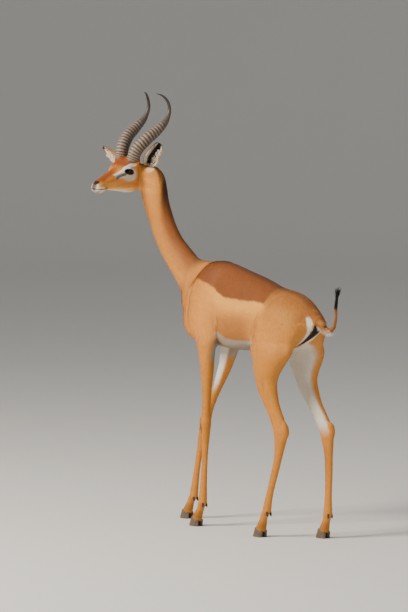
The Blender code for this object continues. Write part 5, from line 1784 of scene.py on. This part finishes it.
def make_tail(material, random):
    """A thin tail, white beneath its root, with a small black tuft at the tip."""
    shares = np.linspace(0, 1, TAIL_ROWS)
    read = read_path(TAIL_PATH, np.column_stack((TAIL_PATH, TAIL_RADII)), shares)
    line = read[:3].T
    radii = np.repeat(read[3][:, None] - TAIL_COAT_DEPTH, 2, 1)
    rings, out, _ = round_rings(line, (1.0, 0, 0), radii, TAIL_SIDES)
    points, faces = shell(rings)
    tail = new_piece("tail", points, faces, material)
    share = np.append(np.repeat(shares, TAIL_SIDES), (0, 1))
    below = np.append(out.reshape(-1, 3)[:, 2], (0, 0))
    set_colours(tail, tail_colours(share, below))
    set_values(tail, "trunk_share", np.ones(len(points)))
    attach(tail, "root")
    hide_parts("tail")
    ways = unit(np.gradient(line, axis=0))
    parts = []
    for count, span, length, spread in TAIL_HAIRS:
        row = (random.uniform(*span, count) * (TAIL_ROWS - 1)).astype(int)
        column = random.integers(0, TAIL_SIDES, count)
        way = unit(ways[row] + out[row, column] * spread + random.normal(0, spread * 0.4, (count, 3)))
        parts.append((row, column, way, np.full(count, length)))
    count, span, length = WHITE_TAIL_HAIRS
    row = (random.uniform(*span, count) * (TAIL_ROWS - 1)).astype(int)
    column = random.integers(0, TAIL_SIDES, count)
    low = out[row, column][:, 2] < -0.2
    row = row[low]
    column = column[low]
    way = unit(ways[row] * 0.9 + np.array((0, 0.1, -0.55)) + random.normal(0, 0.1, (len(row), 3)))
    parts.append((row, column, way, np.full(len(row), length)))
    row, column, ways, lengths = (np.concatenate(values) for values in zip(*parts))
    roots, normals, s, turn = rings[row, column], out[row, column], shares[row], column / TAIL_SIDES
    colours = tail_colours(s, normals[:, 2])
    places = np.column_stack((0.02 + 0.96 * turn, 0.02 + 0.96 * s))
    tufts = (roots, normals, ways, lengths, np.full(len(s), 0.0013), lengths * 0.06, colours)
    add_coat("hair_tail", tufts, places, tuft_material("tail_hair", 0.6), random)


def tail_colours(share, below):
    """Orange-brown tail, white beneath the root and black at the tip."""
    colour = np.tile(TAIL_BROWN, (len(share), 1))
    colour = paint(colour, ramp(share, 0.30, 0.10) * 0.6, CROUP)
    colour = paint(colour, ramp(below, -0.15, -0.45) * ramp(share, 0.46, 0.36), WHITE_HAIR)
    return paint(colour, ramp(share, 0.74, 0.80), BLACK_HAIR)


def hoof_material(name, dark, light):
    """Hoof horn, worn on dry soil: a dusty half-dull wall with fine level growth lines."""
    made, tree, surface = new_material(name, 0.5, Specular_IOR_Level=0.45)
    place = node(tree, "ShaderNodeTexCoord").outputs["Object"]
    lines = node(
        tree, "ShaderNodeTexWave",
        {"bands_direction": "Z", "Scale": HOOF_LINES, "Distortion": 1.6, "Detail": 2.0}, {"Vector": place},
    )
    wear = node(tree, "ShaderNodeTexNoise", {"Scale": HOOF_WEAR, "Detail": 4.0}, {"Vector": place})
    both = node(
        tree, "ShaderNodeMath", {"operation": "MULTIPLY_ADD", 1: 0.35},
        {0: lines.outputs["Fac"], 2: wear.outputs[0]},
    )
    shade = node(tree, "ShaderNodeMapRange", {1: 0.35, 2: 1.0}, {0: both.outputs[0]})
    colour = node(
        tree, "ShaderNodeMix", {"data_type": "RGBA", 6: (*linear(dark), 1), 7: (*linear(light), 1)},
        {0: shade.outputs[0]},
    )
    tree.links.new(colour.outputs[2], surface.inputs["Base Color"])
    bump = node(tree, "ShaderNodeBump", {"Strength": 0.4, "Distance": 0.0006}, {"Height": both.outputs[0]})
    tree.links.new(bump.outputs[0], surface.inputs["Normal"])
    return made


def make_toe(name, foot, step, material):
    """One toe of a cloven hoof: pointed in front, rounded at the heel, flat beneath."""
    turns = 2 * np.pi * np.arange(HOOF_SIDES) / HOOF_SIDES
    ahead = np.cos(turns)
    point = np.clip(ahead, 0, 1) ** 2
    side = np.sign(step)
    outer = np.sin(turns) * side > 0
    rings = []
    for level, tuck in HOOF_RINGS:
        along = HOOF_HALF_LENGTH * ahead * (1 - HOOF_TAPER[0] * level)
        across = HOOF_HALF_WIDTH * np.sin(turns) * (1 - TOE_POINT * point) * (1 - HOOF_TAPER[1] * level)
        across = across * np.where(outer, 1.0, TOE_INNER_SIDE) - side * TOE_TURN_IN * point
        y = foot[1] - along * tuck - SOLE_AHEAD * (1 - level)
        top = HOOF_TOP - CORONET_SLOPE * (y - foot[1])
        rings.append(np.column_stack((foot[0] + step + across * tuck, y, level * top)))
    points, faces = shell(np.array(rings))
    toe = new_piece(name + "_wall", points, faces, material)
    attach(toe, "root")
    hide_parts(name)


def make_dewclaw(name, joints, step, material):
    """A small blunt claw behind the fetlock."""
    spot = np.array(joints[3]) + (step, *DEWCLAW_FROM_FETLOCK)
    way = unit((step * 8, *DEWCLAW_WAY))
    shares = np.linspace(-0.3, 1.0, 14)
    line = spot + way * (shares * DEWCLAW_LENGTH)[:, None]
    radii = DEWCLAW_RADIUS * np.sqrt(np.clip(1 - np.clip(shares, 0, 0.985) ** 2.4, 0, 1))
    rings, _, _ = round_rings(line, (1.0, 0, 0), radii[:, None] * (1.0, 0.75), 18)
    claw = new_piece(name + "_horn", *shell(rings), material)
    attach(claw, "root")
    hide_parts(name)


def make_feet():
    """Eight toes and eight dewclaws."""
    toe = hoof_material("hoof_horn_worn", "#32281F", "#7C6853")
    claw = hoof_material("dewclaw_horn_worn", "#1D1916", "#453C35")
    legs = {
        "fore_left": FORE_LEFT, "fore_right": FORE_RIGHT,
        "hind_left": HIND_LEFT, "hind_right": HIND_RIGHT,
    }
    for name, joints in legs.items():
        for part, sign in (("left", 1), ("right", -1)):
            make_toe(f"hoof_{name}_{part}", joints[-1], sign * TOE_STEP, toe)
            make_dewclaw(f"dewclaw_{name}_{part}", joints, sign * DEWCLAW_STEP, claw)


def eye_material():
    """Eye: dark brown iris with a wide level pupil under a wet clear cornea.

    It gives the eye near black with one small sharp glint, and brown only where light comes in.
    """
    made, tree, surface = new_material(
        "wet_dark_eye", 0.4, Specular_IOR_Level=0.1, Coat_Weight=0.5, Coat_Roughness=0.02, Coat_IOR=1.38
    )
    gaze = node(tree, "ShaderNodeAttribute", {"attribute_name": "gaze"})
    parts = node(tree, "ShaderNodeSeparateXYZ", None, {0: gaze.outputs["Vector"]})
    wide = node(tree, "ShaderNodeMath", {"operation": "MULTIPLY", 1: 1.55}, {0: parts.outputs[0]})
    tall = node(tree, "ShaderNodeMath", {"operation": "MULTIPLY", 1: 3.1}, {0: parts.outputs[1]})
    flat = node(tree, "ShaderNodeCombineXYZ", None, {0: wide.outputs[0], 1: tall.outputs[0]})
    reach = node(tree, "ShaderNodeVectorMath", {"operation": "LENGTH"}, {0: flat.outputs[0]})
    pupil = node(tree, "ShaderNodeMapRange", {1: 0.92, 2: 1.02, 3: 0.0, 4: 1.0}, {0: reach.outputs["Value"]})
    stretched = node(
        tree, "ShaderNodeMapping", {"Scale": (2.2, 2.2, 0.5)}, {"Vector": gaze.outputs["Vector"]}
    )
    fibres = node(
        tree, "ShaderNodeTexNoise", {"Scale": IRIS_FIBRES, "Detail": 4.0}, {"Vector": stretched.outputs[0]}
    )
    iris = node(
        tree, "ShaderNodeMix", {"data_type": "RGBA", 6: (*linear("#120A06"), 1), 7: (*linear("#2C190D"), 1)},
        {0: fibres.outputs[0]},
    )
    colour = node(
        tree, "ShaderNodeMix", {"data_type": "RGBA", 6: (*linear("#020202"), 1)},
        {0: pupil.outputs[0], 7: iris.outputs[2]},
    )
    tree.links.new(colour.outputs[2], surface.inputs["Base Color"])
    return made


def make_eye(name, side, material):
    """An eyeball with its cornea standing a little proud."""
    b = bmesh.new()
    bmesh.ops.create_uvsphere(b, u_segments=48, v_segments=32, radius=1.0)
    bmesh.ops.triangulate(b, faces=b.faces[:])
    local = np.array([v.co for v in b.verts])
    faces = np.array([[v.index for v in f.verts] for f in b.faces])
    b.free()
    cornea = ramp(local[:, 2], 0.62, 0.95) * CORNEA_RISE
    centre = from_head(mirrored(EYE_AT, side))
    axes = eye_axes(side) @ head_axes()
    points = (local * (1 + cornea)[:, None] * (EYE_RADIUS - BALL_PLAY)) @ axes + centre
    eye = new_piece(name + "ball", points, faces, material)
    layer = eye.data.attributes.new("gaze", "FLOAT_VECTOR", "POINT")
    layer.data.foreach_set("vector", local.astype(np.float32).ravel())
    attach(eye, "root")
    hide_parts(name)


# Lashes of one eye, and their length, width and lift
LASH_COUNT = 90
LASH_SIZE = (0.0045, 0.0004, 0.0008)


def make_lashes(material, random):
    """Black lashes along the upper lids."""
    count = LASH_COUNT
    parts = []
    for side in (1, -1):
        axes = eye_axes(side) @ head_axes()
        centre = from_head(mirrored(EYE_AT, side))
        turn = np.radians(random.uniform(15, 165, count))
        e = np.column_stack((
            EYE_OPENING[0] * 1.03 * np.cos(turn), EYE_OPENING[1] * 1.06 * np.sin(turn), np.zeros(count)
        ))
        reach = np.sqrt(np.maximum((EYE_RADIUS + LID_THICKNESS) ** 2 - (e**2).sum(1), 0.00001))
        e[:, 2] = reach - 0.0004
        way = np.column_stack((0.45 * np.cos(turn), 0.35 * np.sin(turn), np.full(count, 0.55)))
        way = unit(way + random.normal(0, 0.10, (count, 3)))
        places = np.column_stack((0.25 + 0.5 * (side > 0) + 0.2 * np.cos(turn), 0.5 + 0.2 * np.sin(turn)))
        parts.append((e @ axes + centre, unit(e @ axes), way @ axes, places))
    roots, normals, ways, places = (np.concatenate(column) for column in zip(*parts))
    sizes = [np.full(len(roots), size) for size in LASH_SIZE]
    tufts = (roots, normals, ways, *sizes, np.tile(BLACK_HAIR, (len(roots), 1)))
    add_coat("hair_lashes", tufts, places, material, random, hairs=1)


def main():
    """Build every piece of the animal, then the stage."""
    random = np.random.default_rng(23)
    coat = hair_skin_material()
    points, normals, faces = make_skin(coat)
    make_coat(points, normals, faces)
    horn = horn_material()
    eye = eye_material()
    for name, side in (("left", 1), ("right", -1)):
        make_horn("ringed_horn_" + name, side, horn)
        make_eye("eye_" + name, side, eye)
        make_ear("ear_" + name, side, coat, random)
    make_lashes(tuft_material("eyelash_hair", 0.5), random)
    make_tail(coat, random)
    make_feet()
    make_stage()
    make_lights()
    make_camera()


# Bowl of floor and backdrop: radii of the flat rings, radius of the curve, top, sides.
# The cameras of the side views stand about 17 m away, so the flat part reaches past them.
FLOOR_RINGS = (0.5, 3.0, 6.0, 12.0, 20.0)
BOWL_CURVE = 8.0
BOWL_TOP = 14.0
BOWL_SIDES = 72


def make_stage():
    """A plain pale floor that curves up into a plain backdrop."""
    # Matt paper: an even pale ground without glints, so that the shadows stay soft
    made, tree, surface = new_material("matt_paper_backdrop", 0.9, Specular_IOR_Level=0.1)
    surface.inputs["Base Color"].default_value = (*linear("#E4E1DB"), 1)
    place = node(tree, "ShaderNodeTexCoord").outputs["Object"]
    grain = node(tree, "ShaderNodeTexNoise", {"Scale": PAPER_GRAIN, "Detail": 2.0}, {"Vector": place})
    bump = node(tree, "ShaderNodeBump", {"Strength": 0.05, "Distance": 0.0004}, {"Height": grain.outputs[0]})
    tree.links.new(bump.outputs[0], surface.inputs["Normal"])
    profile = [(reach, 0.0) for reach in FLOOR_RINGS]
    edge = FLOOR_RINGS[-1]
    for t in np.linspace(0, np.pi / 2, 16)[1:]:
        profile.append((edge + BOWL_CURVE * np.sin(t), BOWL_CURVE - BOWL_CURVE * np.cos(t)))
    profile.append((edge + BOWL_CURVE, BOWL_TOP))
    sides = BOWL_SIDES
    turns = 2 * np.pi * np.arange(sides) / sides
    points = [(r * np.cos(t), r * np.sin(t), z) for r, z in profile for t in turns]
    faces = [tuple(range(sides))]
    for i in range(len(profile) - 1):
        for k in range(sides):
            after = (k + 1) % sides
            faces.append((i * sides + k, (i + 1) * sides + k, (i + 1) * sides + after, i * sides + after))
    mesh = bpy.data.meshes.new("floor")
    mesh.from_pydata(points, [], faces)
    mesh.shade_smooth()
    mesh.materials.append(made)
    floor = bpy.data.objects.new("floor", mesh)
    bpy.context.scene.collection.objects.link(floor)


# Lamps: place, size, watts, colour. A large key from the viewer's upper left, and a weak fill.
LAMPS = {
    "key": ((5.6, -1.2, 4.6), 2.4, 780, (1.0, 0.95, 0.86)),
    "fill": ((-1.5, 6.0, 2.6), 4.0, 95, (0.95, 0.97, 1.0)),
}
LAMP_AIM = Vector((0, 0, 0.9))
WORLD_COLOUR = "#E6E8EC"
WORLD_STRENGTH = 0.42


def make_lights():
    """Soft studio light: two soft square lamps aimed at the animal, and a pale world."""
    for name, (at, size, power, colour) in LAMPS.items():
        data = bpy.data.lights.new(name, "AREA")
        data.size = size
        data.energy = power
        data.color = colour
        lamp = bpy.data.objects.new(name, data)
        lamp.location = at
        lamp.rotation_mode = "QUATERNION"
        lamp.rotation_quaternion = (LAMP_AIM - Vector(at)).to_track_quat("-Z", "Y")
        bpy.context.scene.collection.objects.link(lamp)
    world = bpy.data.worlds.new("studio")
    world.use_nodes = True
    sky = world.node_tree.nodes["Background"]
    sky.inputs["Color"].default_value = (*linear(WORLD_COLOUR), 1)
    sky.inputs["Strength"].default_value = WORLD_STRENGTH
    bpy.context.scene.world = world


def make_camera():
    """The photograph's view: level, from behind the animal's left shoulder."""
    turn, tilt = CAMERA_TURN, CAMERA_ELEVATION
    way = -np.array((np.cos(turn) * np.cos(tilt), np.sin(turn) * np.cos(tilt), np.sin(tilt)))
    data = bpy.data.cameras.new("camera")
    data.sensor_width = SENSOR_WIDTH
    data.lens = PIXELS_PER_METRE * CAMERA_DISTANCE / FRAME_HEIGHT_PIXELS * SENSOR_WIDTH
    data.clip_end = 100.0
    camera = bpy.data.objects.new("camera", data)
    camera.location = Vector(CAMERA_AIM + SHIFT - way * CAMERA_DISTANCE)
    camera.rotation_mode = "QUATERNION"
    camera.rotation_quaternion = Vector(way).to_track_quat("-Z", "Y")
    bpy.context.scene.collection.objects.link(camera)
    bpy.context.scene.camera = camera


main()
